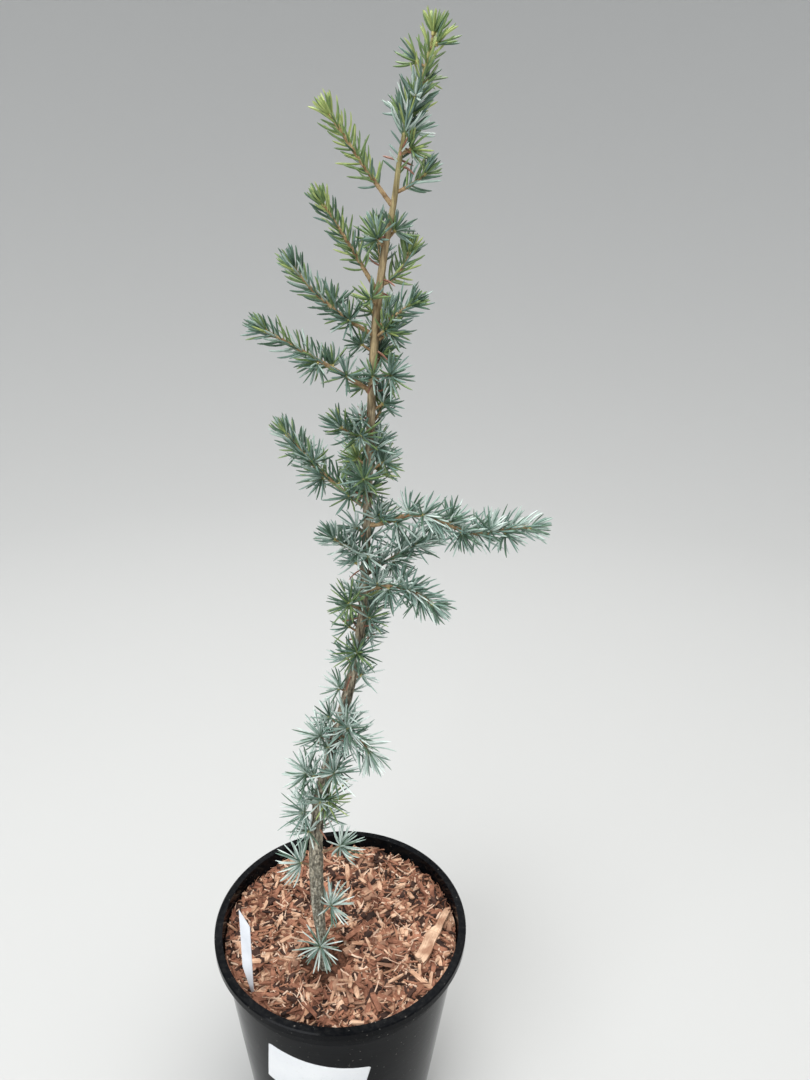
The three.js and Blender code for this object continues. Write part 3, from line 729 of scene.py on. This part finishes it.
def makeLongChip():
    # the one long split piece that lies by the wall
    start, end = Vector(longChip["start"]), Vector(longChip["end"])
    ahead = (end - start).normalized()
    side = ahead.cross(zAxis).normalized()
    up = side.cross(ahead)
    count, columns = longChip["rings"], longChip["columns"]
    rings = []
    for row in range(count + 1):
        share = row / count
        beyond = clamped((share - longChip["splitAt"]) * 14)
        width = longChip["width"] * (1 - (1 - longChip["splitWidth"]) * beyond)
        width *= 1 - longChip["narrowing"] * share
        width *= 1 + longChip["ragged"] * noise.noise(Vector((share * 9, 2, 7)))
        aside = longChip["wander"] * noise.noise(Vector((share * 3, 5, 0))) + longChip["splitShift"] * beyond
        centre = start.lerp(end, share) + side * aside
        crack = longChip["splitDepth"] * exp(-((share - longChip["splitAt"]) / longChip["splitSpan"]) ** 2)
        endward = max(0.0, abs(2 * share - 1) - longChip["frayFrom"]) / (1 - longChip["frayFrom"])
        ring = []
        for level in (-1, 1):
            for column in range(columns + 1):
                across = width * (column / columns - 0.5) * -level
                rough = longChip["rough"] * noise.noise(Vector((across * 1.3, share * 4, level * 9)))
                fray = noise.noise(Vector((across * 1.1, row // (count / 2), 3))) * longChip["fray"] * endward
                rise = level * (longChip["thickness"] / 2 + rough) - (crack if level > 0 else 0)
                ring.append((centre + side * across + up * rise + ahead * fray) * mm)
        rings.append(ring)
    finish = chipFinish("longChip", longChip["light"], longChip["dark"])
    chip = newPiece("longChip", *rodMesh(rings, flip=True), finish, smooth=False)
    layer = chip.data.uv_layers.new(name="UVMap")
    perRing = 2 * (columns + 1)
    for loop in chip.data.loops:
        row, column = divmod(loop.vertex_index, perRing)
        layer.data[loop.index].uv = (row / count, column / perRing)
    placeOn(chip, "wood_chips", "wood_chips")


# Trunk: height, sideways and backward place of its centre, and its radius above the flare

trunkStations = [
    (197, -11, -32.5, 3.7), (228, -14, -31, 4.0), (262, -17, -28.5, 5.1), (301, -18, -26, 5.6),
    (332, -17.5, -23.5, 5.0), (363, -14.5, -21.5, 5.0), (397, -7, -18.5, 4.8), (459, 7.5, -13, 4.1),
    (513, 16, -9, 3.2), (571, 18.5, -6, 3.0), (648, 20.5, -2.5, 2.9), (717, 23, -1, 2.8),
    (764, 28, 0.5, 2.3), (791, 33, 1, 1.9), (818, 36.5, 2, 1.5), (837, 40.5, 2.5, 1.3),
    (852, 46.5, 2.5, 1.1), (878, 53, 3.5, 0.8),
]
trunk = {
    "foot": 197.0,
    "tip": 878.0,
    "flareRadius": 1.2,
    "flareHeight": 7.0,
    "ringSpacing": 0.75,
    "sides": 56,
    "roughFoot": 0.55,  # how far the old bark stands up and down, in millimetres
    "roughTip": 0.06,
    "roughEnds": 760.0,  # the height where the bark is smooth
    "highest": 0.35,  # no plate stands out further than this
    "widestCrack": 0.28,
    "plateWander": (0.25, 0.6),
}
# plates, cracks and grain: how fine across and upwards, and how far out as a share of the roughness
barkPattern = [((0.42, 0.12), 0.35), ((0.5, 0.11), 1.6), ((0.9, 0.5), 0.45)]


def throughStations(height, column):
    rows = trunkStations

    def slope(index):
        before, after = rows[max(index - 1, 0)], rows[min(index + 1, len(rows) - 1)]
        return (after[column] - before[column]) / (after[0] - before[0])

    index, span, share = rowAt(rows, height)
    before, after = slope(index) * span, slope(index + 1) * span
    start = rows[index][column]
    rise = rows[index + 1][column] - start
    square, cube = share ** 2, share ** 3
    eased = (3 * square - 2 * cube) * rise
    return start + eased + (cube - 2 * square + share) * before + (cube - square) * after


def trunkCentre(height):
    return Vector((throughStations(height, 1), throughStations(height, 2), height))


def trunkRadius(height):
    flare = trunk["flareRadius"] * exp(-(height - trunk["foot"]) / trunk["flareHeight"])
    return throughStations(height, 3) + flare


def stretched(place, across, upward):
    return Vector((place.x * across, place.y * across, place.z * upward))


def barkRelief(place, rough):
    # plates drawn out upwards, with cracks between them and a finer grain on top
    (plateScale, plateRise), (crackScale, crackRise), (grainScale, grainRise) = barkPattern
    span, reach = trunk["plateWander"]
    plates = noise.cell(stretched(place, *plateScale) + noise.noise_vector(place * span) * reach)
    cracks = min(abs(noise.noise(stretched(place, *crackScale))), trunk["widestCrack"])
    grain = noise.fractal(stretched(place, *grainScale), 0.9, 2.0, 3)
    return rough * (plateRise * plates + crackRise * cracks - plateRise + grainRise * grain)


# noise scale, dark and light colour: old bark, middle, young, and the green tip
barkTones = [
    (650.0, (0.085, 0.064, 0.044), (0.56, 0.49, 0.37)),
    (520.0, (0.11, 0.079, 0.047), (0.56, 0.48, 0.34)),
    (250.0, (0.17, 0.1, 0.045), (0.6, 0.46, 0.26)),
    (340.0, (0.26, 0.23, 0.08), (0.54, 0.5, 0.22)),
]
# heights in metres between which one tone gives way to the next
toneChanges = [(0.43, 0.5), (0.62, 0.7), (0.77, 0.835)]


def barkFinish():
    finish = Finish("trunkBark", 0.86, 0.25)
    height = finish.height()
    drawn = finish.vector("MULTIPLY", finish.place, (1.0, 1.0, 0.14))
    tones = [finish.mottle(Vector=drawn, Scale=scale, Detail=7.0, Low=0.34, High=0.57,
                           Dark=dark, Light=light)["Color"] for scale, dark, light in barkTones]
    color = tones[0]
    for (low, high), tone in zip(toneChanges, tones[1:]):
        color = finish.blend(finish.remap(height, low, high), color, tone)
    lichen = finish.mottle(Scale=520.0, Detail=6.0, Low=0.42, High=0.6,
                           Dark=(0.23, 0.21, 0.16), Light=(0.64, 0.62, 0.51))
    color = finish.blend(finish.remap(height, 0.36, 0.26, 0.0, 0.8), color, lichen["Color"])
    # painted shade: the colour is darkened where the bark's relief lies low, in its cracks; the grain's lines
    # also streak it darker and lighter
    crack = finish.remap(finish.attribute("relief"), -0.16, 0.12, 0.38, 1.0)
    lines = finish.lines(Stretch=(1.0, 1.0, 0.16), Scale=700.0)
    shade = finish.times(crack, finish.remap(lines, 0.15, 0.85, 0.55, 1.12))
    return finish.done(finish.blend(1.0, color, shade, "MULTIPLY"), lines, 0.0005, 0.9)


def makeTrunk(finish):
    foot, tall = trunk["foot"], trunk["tip"] - trunk["foot"]
    count = round(tall / trunk["ringSpacing"])
    rings, relief = [], []
    for row in range(count + 1):
        height = foot + tall * row / count
        centre, radius = trunkCentre(height), trunkRadius(height)
        age = min((height - foot) / (trunk["roughEnds"] - foot), 1.0)
        rough = trunk["roughFoot"] + (trunk["roughTip"] - trunk["roughFoot"]) * age
        ring = []
        for angle in turns(trunk["sides"]):
            out = Vector((cos(angle), sin(angle), 0))
            step = barkRelief(centre + out * radius, rough)
            relief.append(step)
            ring.append((centre + out * (radius + min(step, trunk["highest"]))) * mm)
        rings.append(ring)
    stem = newPiece("trunkStem", *rodMesh(rings), finish)
    # the relief is kept on the points so the bark's finish can darken the cracks with painted shade
    stem.data.attributes.new("relief", "FLOAT", "POINT").data.foreach_set("value", relief)
    placeOn(stem, "bark", "trunk")
    print("trunk:", len(stem.data.polygons), "faces")


# Limbs, by the same rule as the solids: a stem whose rise changes evenly from foot to tip

limbs = {
    "steps": 24,
    "taper": 0.4,
    "thinnest": 1.1,
    "growth": 0.0065,
    "spurRadius": 1.3,
    "ringSpacing": 0.9,
    "sides": 12,
    "seed": 20731,
    "shootRough": 0.11,  # how far the scaly ridges stand up
    "spurRough": 0.16,
}

# height and bearing of the foot, rise at foot and tip, length, bare length at the foot, spurs and sway
shootColumns = ("height", "bearing", "rise", "tip", "length", "bare", "spurs", "sway")
shoots = {
    "left_1": (789, 190, 50, 54, 61, 14),
    "left_2": (738, 200, 58, 53, 62, 17),
    "left_3": (713, 188, 25, 52, 65, 14, 2),
    "left_4": (677, 200, 32, 29, 79, 17, 3),
    "left_5": (646, 215, 13, 36, 25, 0, 1),
    "left_6": (597, 160, 26, 47, 76, 10, 5),
    "left_7": (562, 215, 36, 36, 31, 0, 2),
    "right_1": (797, 12, 20, 43, 21),
    "right_2": (744, 40, 5, 72, 31),
    "right_3": (717, -20, 35, 35, 28),
    "right_4": (656, 35, 29, 88, 19),
    "right_5": (585, -6, 2, -6, 116, 7, 10, 23),
    "right_6": (547, 25, 30, 17, 53, 10, 4),
    "right_7": (534, -22, 41, -36, 56, 10, 5),
    "right_8": (407, -20, 88, -69, 42, 0, 2),
    "back_1": (752, 100, 35, 55, 34),
    "back_2": (697, 80, 28, 45, 48, 0, 2),
    "back_3": (603, 105, 22, 35, 62, 0, 4),
    "back_4": (505, 75, 25, 5, 42, 0, 3),
}
# height, bearing, rise, length and the scale of the needles
spurColumns = ("height", "bearing", "rise", "length", "scale")
trunkSpurs = {
    "top_1": (818, 0, 25, 7), "top_2": (770, 25, 45, 8), "top_3": (765, 215, 45, 8),
    "middle_1": (709, 15, 28, 12), "middle_2": (686, -35, 14, 15), "middle_3": (639, 70, 5, 12),
    "middle_4": (623, 5, 34, 12), "middle_5": (614, 262, 29, 17), "middle_6": (521, 235, 35, 19),
    "middle_7": (489, 275, 20, 11), "low_1": (421, -55, 40, 19), "low_2": (411, 205, 42, 15),
    "low_3": (380, 195, 30, 16), "low_4": (380, -60, 45, 26), "low_5": (356, -35, 49, 14),
    "low_6": (350, 198, 13, 11), "low_7": (311, -8, 29, 23, 0.86), "low_8": (299, 175, 11, 13),
    "low_9": (254, -15, 43, 15, 0.88), "low_10": (225, 268, 20, 10, 0.88),
}
# finer tufts between the named ones, wound up the trunk, and the leader's own
tufts = {"count": 44, "start": 322.0, "spacing": 9.5, "bearing": 90, "rise": 35, "length": 8, "varied": True,
         "radius": 1.1, "rough": 0.14, "fan": (20, 88), "scale": 0.86, "seed": 4000}
leaderTufts = {"count": 6, "start": 828.0, "spacing": 8.9, "bearing": 0, "rise": 25, "length": 5.5,
               "varied": False, "radius": 0.8, "rough": 0.05, "fan": (12, 50), "scale": 1.05, "seed": 5000}
leader = {"fan": (26, 55), "rough": 0.04, "budAhead": 2.5, "seed": 6000,
          # from, to, spacing, lean and scale of the single needles
          "brushes": [(806, 826, 1.8, 60, 0.8), (827, 846, 0.26, 50, 1.22), (846, 876, 0.75, 50, 1.02)]}

# last year's needles that still hang on: from, to and how many
deadNeedles = {"seed": 77, "scale": 0.72, "lean": (55, 30),  # least and spread
               "places": [(811, 827, 7), (560, 780, 18), (430, 560, 12), (300, 430, 6)]}


def seededRandom(state):
    def draw():
        nonlocal state
        state = (state * 1664525 + 1013904223) % 4294967296
        return state / 4294967296

    return draw


def makeLimb(**values):
    limb = {"name": "", "tip": values["rise"], "sway": 0, "bare": 0, "spurs": 0, "scale": 1.0,
            "radius": limbs["thinnest"] + limbs["growth"] * values["length"], **values}
    bearing = radians(limb["bearing"])
    points = [trunkCentre(limb["height"])]
    for step in range(limbs["steps"]):
        share = (step + 0.5) / limbs["steps"]
        swayed = limb["sway"] * sin(3 * pi * share)
        rise = radians(limb["rise"] + (limb["tip"] - limb["rise"]) * share + swayed)
        ahead = Vector((cos(bearing) * cos(rise), sin(bearing) * cos(rise), sin(rise)))
        points.append(points[-1] + ahead * limb["length"] / limbs["steps"])
    limb["points"] = points
    return limb


def along(limb, share):
    # the point and the way ahead at a share of the limb's length
    place = clamped(share) * limbs["steps"]
    index = min(int(place), limbs["steps"] - 1)
    points = limb["points"]
    here, there = points[index], points[index + 1]
    ahead = there - here
    before = points[index] - points[index - 1] if index else ahead
    after = points[index + 2] - there if index + 2 < len(points) else ahead
    part = place - index
    way = before.lerp(ahead, min(part + 0.5, 1.0)).lerp(after, max(part - 0.5, 0.0))
    return here.lerp(there, part), way.normalized()


def leaning(ahead, lean, turn):
    out = Quaternion(ahead, radians(turn)) @ ahead.orthogonal().normalized()
    return ahead * cos(radians(lean)) + out * sin(radians(lean))


def stemMesh(limb, rough):
    # the limb's stem with scaly ridges where needles have stood
    count = max(6, round(limb["length"] / limbs["ringSpacing"]))
    side = Vector((0, -1, 0))
    rings = []
    for row in range(count + 1):
        centre, ahead = along(limb, row / count)
        side = (side - ahead * side.dot(ahead)).normalized()
        up = side.cross(ahead)
        radius = limb["radius"] * (1 - limbs["taper"] * row / count)
        ring = []
        for angle in turns(limbs["sides"]):
            out = side * cos(angle) + up * sin(angle)
            place = centre + out * radius
            ridge = noise.noise(place * 1.1) + 0.5 * sin(row * 1.9 + 2 * angle)
            ring.append((place + out * ridge * rough) * mm)
        rings.append(ring)
    return rodMesh(rings, flip=True)


# Needles: longer low on the trunk than near its tip

needles = {
    "low": 25.0,
    "high": 13.0,
    "spread": 2.0,
    "width": 1.3,
    "sides": 4,
    "points": 6,
    "crowding": 1.25,  # how much closer together a needle's points are near its tip
    "upward": 0.14,  # how much needles turn up towards the light
    "bend": 0.12,  # how far a needle bows, as a share of its length
    "bendReach": (-0.25, 1.1),  # least and spread of that
    "fanScale": (0.82, 0.22),
    "singleScale": (0.74, 0.34),
    "tuftScale": 0.9,
    "leanSpread": 9,
    "turnSpread": 18,
    # how many needles and how wide they open
    "rosette": (36, 98),
    "shootSpur": (25, 84),
    "tuft": (24, 46),
    "singleSpacing": 0.7,
    "singleLean": 66,
    "singleLeanDrop": 24,
    "singleEnd": 0.985,  # the share of a shoot where its single needles end
    "freshBlur": 0.12,
}
# spurs on a shoot: lean, first turn and step away from its bark, least bare length, the shares of the shoot
# where many and few of them end, and how much later single needles start above them
shootSpurs = {"lean": 64, "turn": 60, "step": 1.2, "bare": 5, "endOfMany": 0.9, "endOfFew": 0.6, "later": 0.3}

# plain base colours, light and dark, dealt out by spray
needleTints = {
    "pale": ((0.64, 0.72, 0.67), (0.46, 0.55, 0.51)),
    "silver": ((0.39, 0.485, 0.43), (0.24, 0.33, 0.285)),
    "blue": ((0.185, 0.28, 0.235), (0.095, 0.16, 0.13)),
    "teal": ((0.095, 0.165, 0.11), (0.042, 0.082, 0.052)),
    "green": ((0.2, 0.29, 0.115), (0.09, 0.15, 0.05)),
    "fresh": ((0.38, 0.45, 0.16), (0.23, 0.3, 0.09)),
    "dead": ((0.34, 0.15, 0.095), (0.17, 0.075, 0.05)),
}

# what each kind of spray is mixed from
sprayKinds = {
    "hoary": {"pale": 0.38, "silver": 0.31, "blue": 0.18, "teal": 0.13},
    "blue": {"pale": 0.12, "silver": 0.27, "blue": 0.36, "teal": 0.25},
    "dusky": {"silver": 0.16, "blue": 0.27, "teal": 0.34, "green": 0.23},
    "green": {"blue": 0.08, "teal": 0.24, "green": 0.52, "fresh": 0.16},
    "fresh": {"green": 0.4, "fresh": 0.6},
    "leafy": {"blue": 0.12, "teal": 0.5, "green": 0.38},
}

# the share of each of the first five kinds at a height, in the order above
kindShares = [
    (197, (1.0, 0.0, 0.0, 0.0, 0.0)),
    (430, (0.66, 0.26, 0.06, 0.02, 0.0)),
    (560, (0.12, 0.5, 0.29, 0.09, 0.0)),
    (680, (0.0, 0.35, 0.5, 0.15, 0.0)),
    (800, (0.0, 0.2, 0.5, 0.3, 0.0)),
    (824, (0.3, 0.3, 0.0, 0.4, 0.0)),
    (845, (0.24, 0.26, 0.0, 0.46, 0.04)),
    (853, (0.0, 0.08, 0.05, 0.65, 0.22)),
    (866, (0.0, 0.0, 0.0, 0.35, 0.65)),
]
# limbs that differ from what their height would give
limbKinds = {"left_1": "green", "left_2": "green", "left_4": "dusky", "right_2": "green",
             "right_5": "blue", "right_6": "blue", "top_1": "green", "middle_5": "leafy", "middle_6": "leafy",
             "middle_7": "leafy", "low_5": "green"}
# how far back from the tip a limb's needles turn fresh, as a share of its length
freshTips = {"left_1": 0.38, "left_2": 0.1}

needlePaths = {name: [] for name in needleTints}
budPlaces = []


def swing(draw):
    return 2 * draw() - 1


def within(reach, draw):
    least, spread = reach
    return least + spread * draw()


def needleLength(height):
    share = (height - trunk["foot"]) / (trunk["tip"] - trunk["foot"])
    return needles["low"] + (needles["high"] - needles["low"]) * share


def drawFrom(shares, draw):
    left = draw() * sum(shares.values())
    for name, share in shares.items():
        left -= share
        if left <= 0:
            return name
    return name


def pickKind(height, draw):
    index, span, share = rowAt(kindShares, height)
    first, second = kindShares[index][1], kindShares[index + 1][1]
    return drawFrom({name: a + (b - a) * share for name, a, b in zip(sprayKinds, first, second)}, draw)


def kindOf(limb, draw):
    return limbKinds.get(limb["name"]) or pickKind(limb["points"][-1].z, draw)


def addNeedle(root, ahead, lean, turn, kind, draw, scale=1.0):
    length = (needleLength(root.z) + needles["spread"] * swing(draw)) * scale
    lean += needles["leanSpread"] * swing(draw)
    direction = leaning(ahead, lean, turn + needles["turnSpread"] * swing(draw))
    direction = (direction + zAxis * needles["upward"]).normalized()
    # the needle bows back towards the way its stem runs, or now and then away from it
    bow = ahead - direction * ahead.dot(direction)
    bow = bow.normalized() if bow.length > 0.05 else direction.orthogonal().normalized()
    bend = needles["bend"] * length * within(needles["bendReach"], draw)
    path = []
    for index in range(needles["points"]):
        share = 1 - (1 - index / (needles["points"] - 1)) ** needles["crowding"]
        path.append(root + direction * length * share + bow * bend * (4 * share * (share - 1) + share))
    tint = kind if kind == "dead" else drawFrom(sprayKinds[kind], draw)
    needlePaths[tint].append(path)


def addFan(root, ahead, fan, kind, draw, scale=1.0):
    count, widest = fan
    start = 360 * draw()
    for index in range(count):
        lean = widest * sqrt((index + 0.5) / count)
        size = scale * within(needles["fanScale"], draw)
        addNeedle(root, ahead, lean, start + index * goldenTurn, kind, draw, size)
    budPlaces.append((root, ahead))


def addSpray(stems, limb, rough, fan, kind, draw, scale):
    # a short stem with a fan of needles at its tip
    stems.append(stemMesh(limb, rough))
    addFan(*along(limb, 1.0), fan, kind, draw, scale)


def growShoot(limb, draw):
    kind = kindOf(limb, draw)
    freshFrom = 1 - freshTips.get(limb["name"], 0.0)
    spurs = limb["spurs"]
    start = max(limb["bare"], shootSpurs["bare"]) / limb["length"]
    spurEnd = shootSpurs["endOfMany" if spurs > 3 else "endOfFew"]
    for index in range(spurs):
        root, ahead = along(limb, start + (spurEnd - start) * (index + 0.3) / spurs)
        direction = leaning(ahead, shootSpurs["lean"], shootSpurs["turn"] + index * goldenTurn)
        foot = root + direction * (limb["radius"] + shootSpurs["step"])
        addFan(foot, direction, needles["shootSpur"], kind, draw)
    first = start if spurs < 3 else start + shootSpurs["later"] * (1 - start)
    reach = needles["singleEnd"] - first
    count = round(limb["length"] * reach / needles["singleSpacing"])
    for index in range(count):
        share = first + reach * (index + 0.5) / count
        root, ahead = along(limb, share)
        lean = needles["singleLean"] - needles["singleLeanDrop"] * share
        fresher = share > freshFrom + needles["freshBlur"] * (draw() - 0.5)
        scale = within(needles["singleScale"], draw)
        addNeedle(root, ahead, lean, index * goldenTurn, "fresh" if fresher else kind, draw, scale)
    tuftKind = "fresh" if freshFrom < 0.8 else kind
    addFan(*along(limb, 1.0), needles["tuft"], tuftKind, draw, needles["tuftScale"])


def growTree(barkMaterial):
    stems = []
    for name, row in shoots.items():
        limb = makeLimb(name=name, **dict(zip(shootColumns, row)))
        stems.append(stemMesh(limb, limbs["shootRough"]))
        growShoot(limb, seededRandom(limbs["seed"] + limb["height"]))
    for name, row in trunkSpurs.items():
        limb = makeLimb(name=name, radius=limbs["spurRadius"], **dict(zip(spurColumns, row)))
        draw = seededRandom(limbs["seed"] + limb["height"] + limb["length"])
        addSpray(stems, limb, limbs["spurRough"], needles["rosette"], kindOf(limb, draw), draw, limb["scale"])
    growTufts(stems, tufts)
    growTufts(stems, leaderTufts)
    growLeader(stems)
    addDeadNeedles()
    bark = newPiece("shootStems", *joined(stems), barkMaterial)
    placeOn(bark, "shoot_bark", *nodesNamed("bough_"), *nodesNamed("needles_"))
    print("stems:", len(bark.data.polygons), "faces;", sum(map(len, needlePaths.values())), "needles")


def nodesNamed(start):
    return [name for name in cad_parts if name.startswith(start)]


def growTufts(stems, row):
    for index in range(row["count"]):
        height = row["start"] + index * row["spacing"]
        draw = seededRandom(row["seed"] + index)
        length = row["length"] * (0.8 + 0.5 * draw() if row["varied"] else 1.0)
        limb = makeLimb(height=height, bearing=row["bearing"] + index * goldenTurn, rise=row["rise"],
                        length=length, radius=row["radius"])
        addSpray(stems, limb, row["rough"], row["fan"], pickKind(height, draw), draw, row["scale"])


def growLeader(stems):
    draw = seededRandom(leader["seed"])
    for low, high, spacing, lean, scale in leader["brushes"]:
        count = round((high - low) / spacing)
        for index in range(count):
            height = low + (high - low) * index / count
            ahead = (trunkCentre(height + 3) - trunkCentre(height - 3)).normalized()
            kind = pickKind(height, draw)
            addNeedle(trunkCentre(height), ahead, lean, index * goldenTurn, kind, draw, scale)
    # a bud stands on the trunk's tip
    top = trunkCentre(trunk["tip"])
    ahead = (top - trunkCentre(trunk["tip"] - leaderTufts["spacing"])).normalized()
    reach, steps = leader["budAhead"], limbs["steps"]
    below, bud = top - ahead * reach, top + ahead * reach
    points = [below.lerp(bud, step / steps) for step in range(steps + 1)]
    stem = {"length": 2 * reach, "radius": leaderTufts["radius"], "points": points}
    stems.append(stemMesh(stem, leader["rough"]))
    addFan(bud, ahead, leader["fan"], "fresh", draw)


def addDeadNeedles():
    # dry and drooping
    draw = seededRandom(deadNeedles["seed"])
    for low, high, count in deadNeedles["places"]:
        for index in range(count):
            root = trunkCentre(low + (high - low) * draw())
            ahead = -zAxis if draw() < 0.5 else zAxis
            lean = within(deadNeedles["lean"], draw)
            addNeedle(root, ahead, lean, 360 * draw(), "dead", draw, deadNeedles["scale"])


def needleFinish(name, light, dark):
    finish = Finish(name, 0.4, 0.45)
    bloom = finish.mottle(Scale=170.0, Detail=3.0, Low=0.3, High=0.62, Dark=dark, Light=light)["Color"]
    foot = finish.remap(finish.attribute("along"), 0.0, 0.25, 0.45, 0.0)
    return finish.done(finish.blend(foot, bloom, (0.3, 0.33, 0.13)))


def makeNeedleTree():
    # a slim pointed rod along each path
    tree, bench, entry, leave = newNodes("needlesOnPaths", {"Width": 0.001, "Sides": 4})
    curves = bench.mesh("MeshToCurve", {"Mesh": entry["Geometry"]})
    reach = bench.mesh("SplineParameter")
    # full width from a fifth of the way to near the tip, fine at both ends
    shape = bench.times(bench.remap(reach, 0.0, 0.2, 0.6, 1.0), bench.remap(reach, 0.82, 1.0, 1.0, 0.26))
    radius = bench.times(shape, bench.times(entry["Width"], 0.5))
    values = {"Geometry": curves, "Name": "along", "Value": reach}
    kept = bench.mesh("StoreNamedAttribute", values, data_type="FLOAT", domain="POINT")
    ring = bench.mesh("CurvePrimitiveCircle", {"Resolution": entry["Sides"], "Radius": 1.0}, mode="RADIUS")
    values = {"Curve": kept, "Profile Curve": ring, "Scale": radius, "Fill Caps": True}
    rods = bench.mesh("CurveToMesh", values)
    facets = bench.mesh("SetShadeSmooth", {"Geometry": rods, "Shade Smooth": False})
    endNodes(bench, entry, leave, bench.mesh("RealizeInstances", {"Geometry": facets}))
    return tree


def makeNeedles():
    tree, count = makeNeedleTree(), needles["points"]
    for name, paths in needlePaths.items():
        edges = [(path * count + index, path * count + index + 1)
                 for path in range(len(paths)) for index in range(count - 1)]
        pieceName = "needles" + name.capitalize()
        piece = newPiece(pieceName, [point * mm for path in paths for point in path], [], edges=edges)
        finish = needleFinish(pieceName + "Finish", *needleTints[name])
        runNodes(piece, tree, {"Width": needles["width"] * mm, "Sides": needles["sides"], "Finish": finish})
        slot = "fresh_needles" if name in ("green", "fresh") else "blue_needles"
        placeOn(piece, slot, *nodesNamed("needles_"))
        print(pieceName, len(paths), "needles,", len(piece.data.polygons), "faces")


# Buds: a small scaly knob at the heart of each spray

buds = {"radius": 1.35, "length": 1.8, "scaleSize": 700.0, "scaleDepth": (0.0009, 0.0009, 0.0009)}


def makeBudTree():
    tree, bench, entry, leave = newNodes("budsOnPoints", {"Radius": 0.001, "Length": 0.0015})
    knob = bench.mesh("MeshUVSphere", {"Segments": 10, "Rings": 7, "Radius": 1.0})
    turn = bench.add("GeometryNodeInputNamedAttribute", {"Name": "turn"}, data_type="QUATERNION")
    rotation = [socket for socket in turn.outputs if socket.enabled and socket.name == "Attribute"][0]
    size = bench.combine(entry["Radius"], entry["Radius"], entry["Length"])
    values = {"Points": entry["Geometry"], "Instance": knob, "Rotation": rotation, "Scale": size}
    real = bench.mesh("RealizeInstances", {"Geometry": bench.mesh("InstanceOnPoints", values)})
    rough = bench.shift(buds["scaleDepth"], Vector=bench.mesh("InputPosition"), Scale=buds["scaleSize"])
    endNodes(bench, entry, leave, bench.mesh("SetPosition", {"Geometry": real, "Offset": rough}))
    return tree


def makeBuds():
    piece = newPiece("budScales", [root * mm for root, ahead in budPlaces], [])
    flat = [value for root, ahead in budPlaces for value in zAxis.rotation_difference(ahead)]
    piece.data.attributes.new("turn", "QUATERNION", "POINT").data.foreach_set("value", flat)
    finish = crumbFinish("budScales")
    values = {"Radius": buds["radius"] * mm, "Length": buds["length"] * mm, "Finish": finish}
    runNodes(piece, makeBudTree(), values)
    placeOn(piece, "shoot_bark")
    print("buds:", len(budPlaces))


# dark and light colour of the shoots' bark, low and high on the tree
shootTones = [((0.16, 0.1, 0.06), (0.4, 0.28, 0.17)), ((0.25, 0.145, 0.065), (0.52, 0.37, 0.2))]


def shootBarkFinish():
    finish = Finish("shootBark", 0.7, 0.3)
    lower, upper = [finish.mottle(Scale=260.0, Detail=4.0, Low=0.35, High=0.65,
                                  Dark=dark, Light=light)["Color"] for dark, light in shootTones]
    color = finish.blend(finish.remap(finish.height(), 0.42, 0.62), lower, upper)
    lines = finish.lines(Scale=1100.0)
    shade = finish.remap(lines, 0.15, 0.85, 0.6, 1.1)
    return finish.done(finish.blend(1.0, color, shade, "MULTIPLY"), lines, 0.0004, 0.8)


makeStudio()
makePot(potFinish())
makeLabel(labelFinish())
makeTag(tagFinish())
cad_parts["potting_mix"].material_slots[0].material = crumbFinish("mixFinish")
makeChips()
makeTrunk(barkFinish())
growTree(shootBarkFinish())
makeNeedles()
makeBuds()
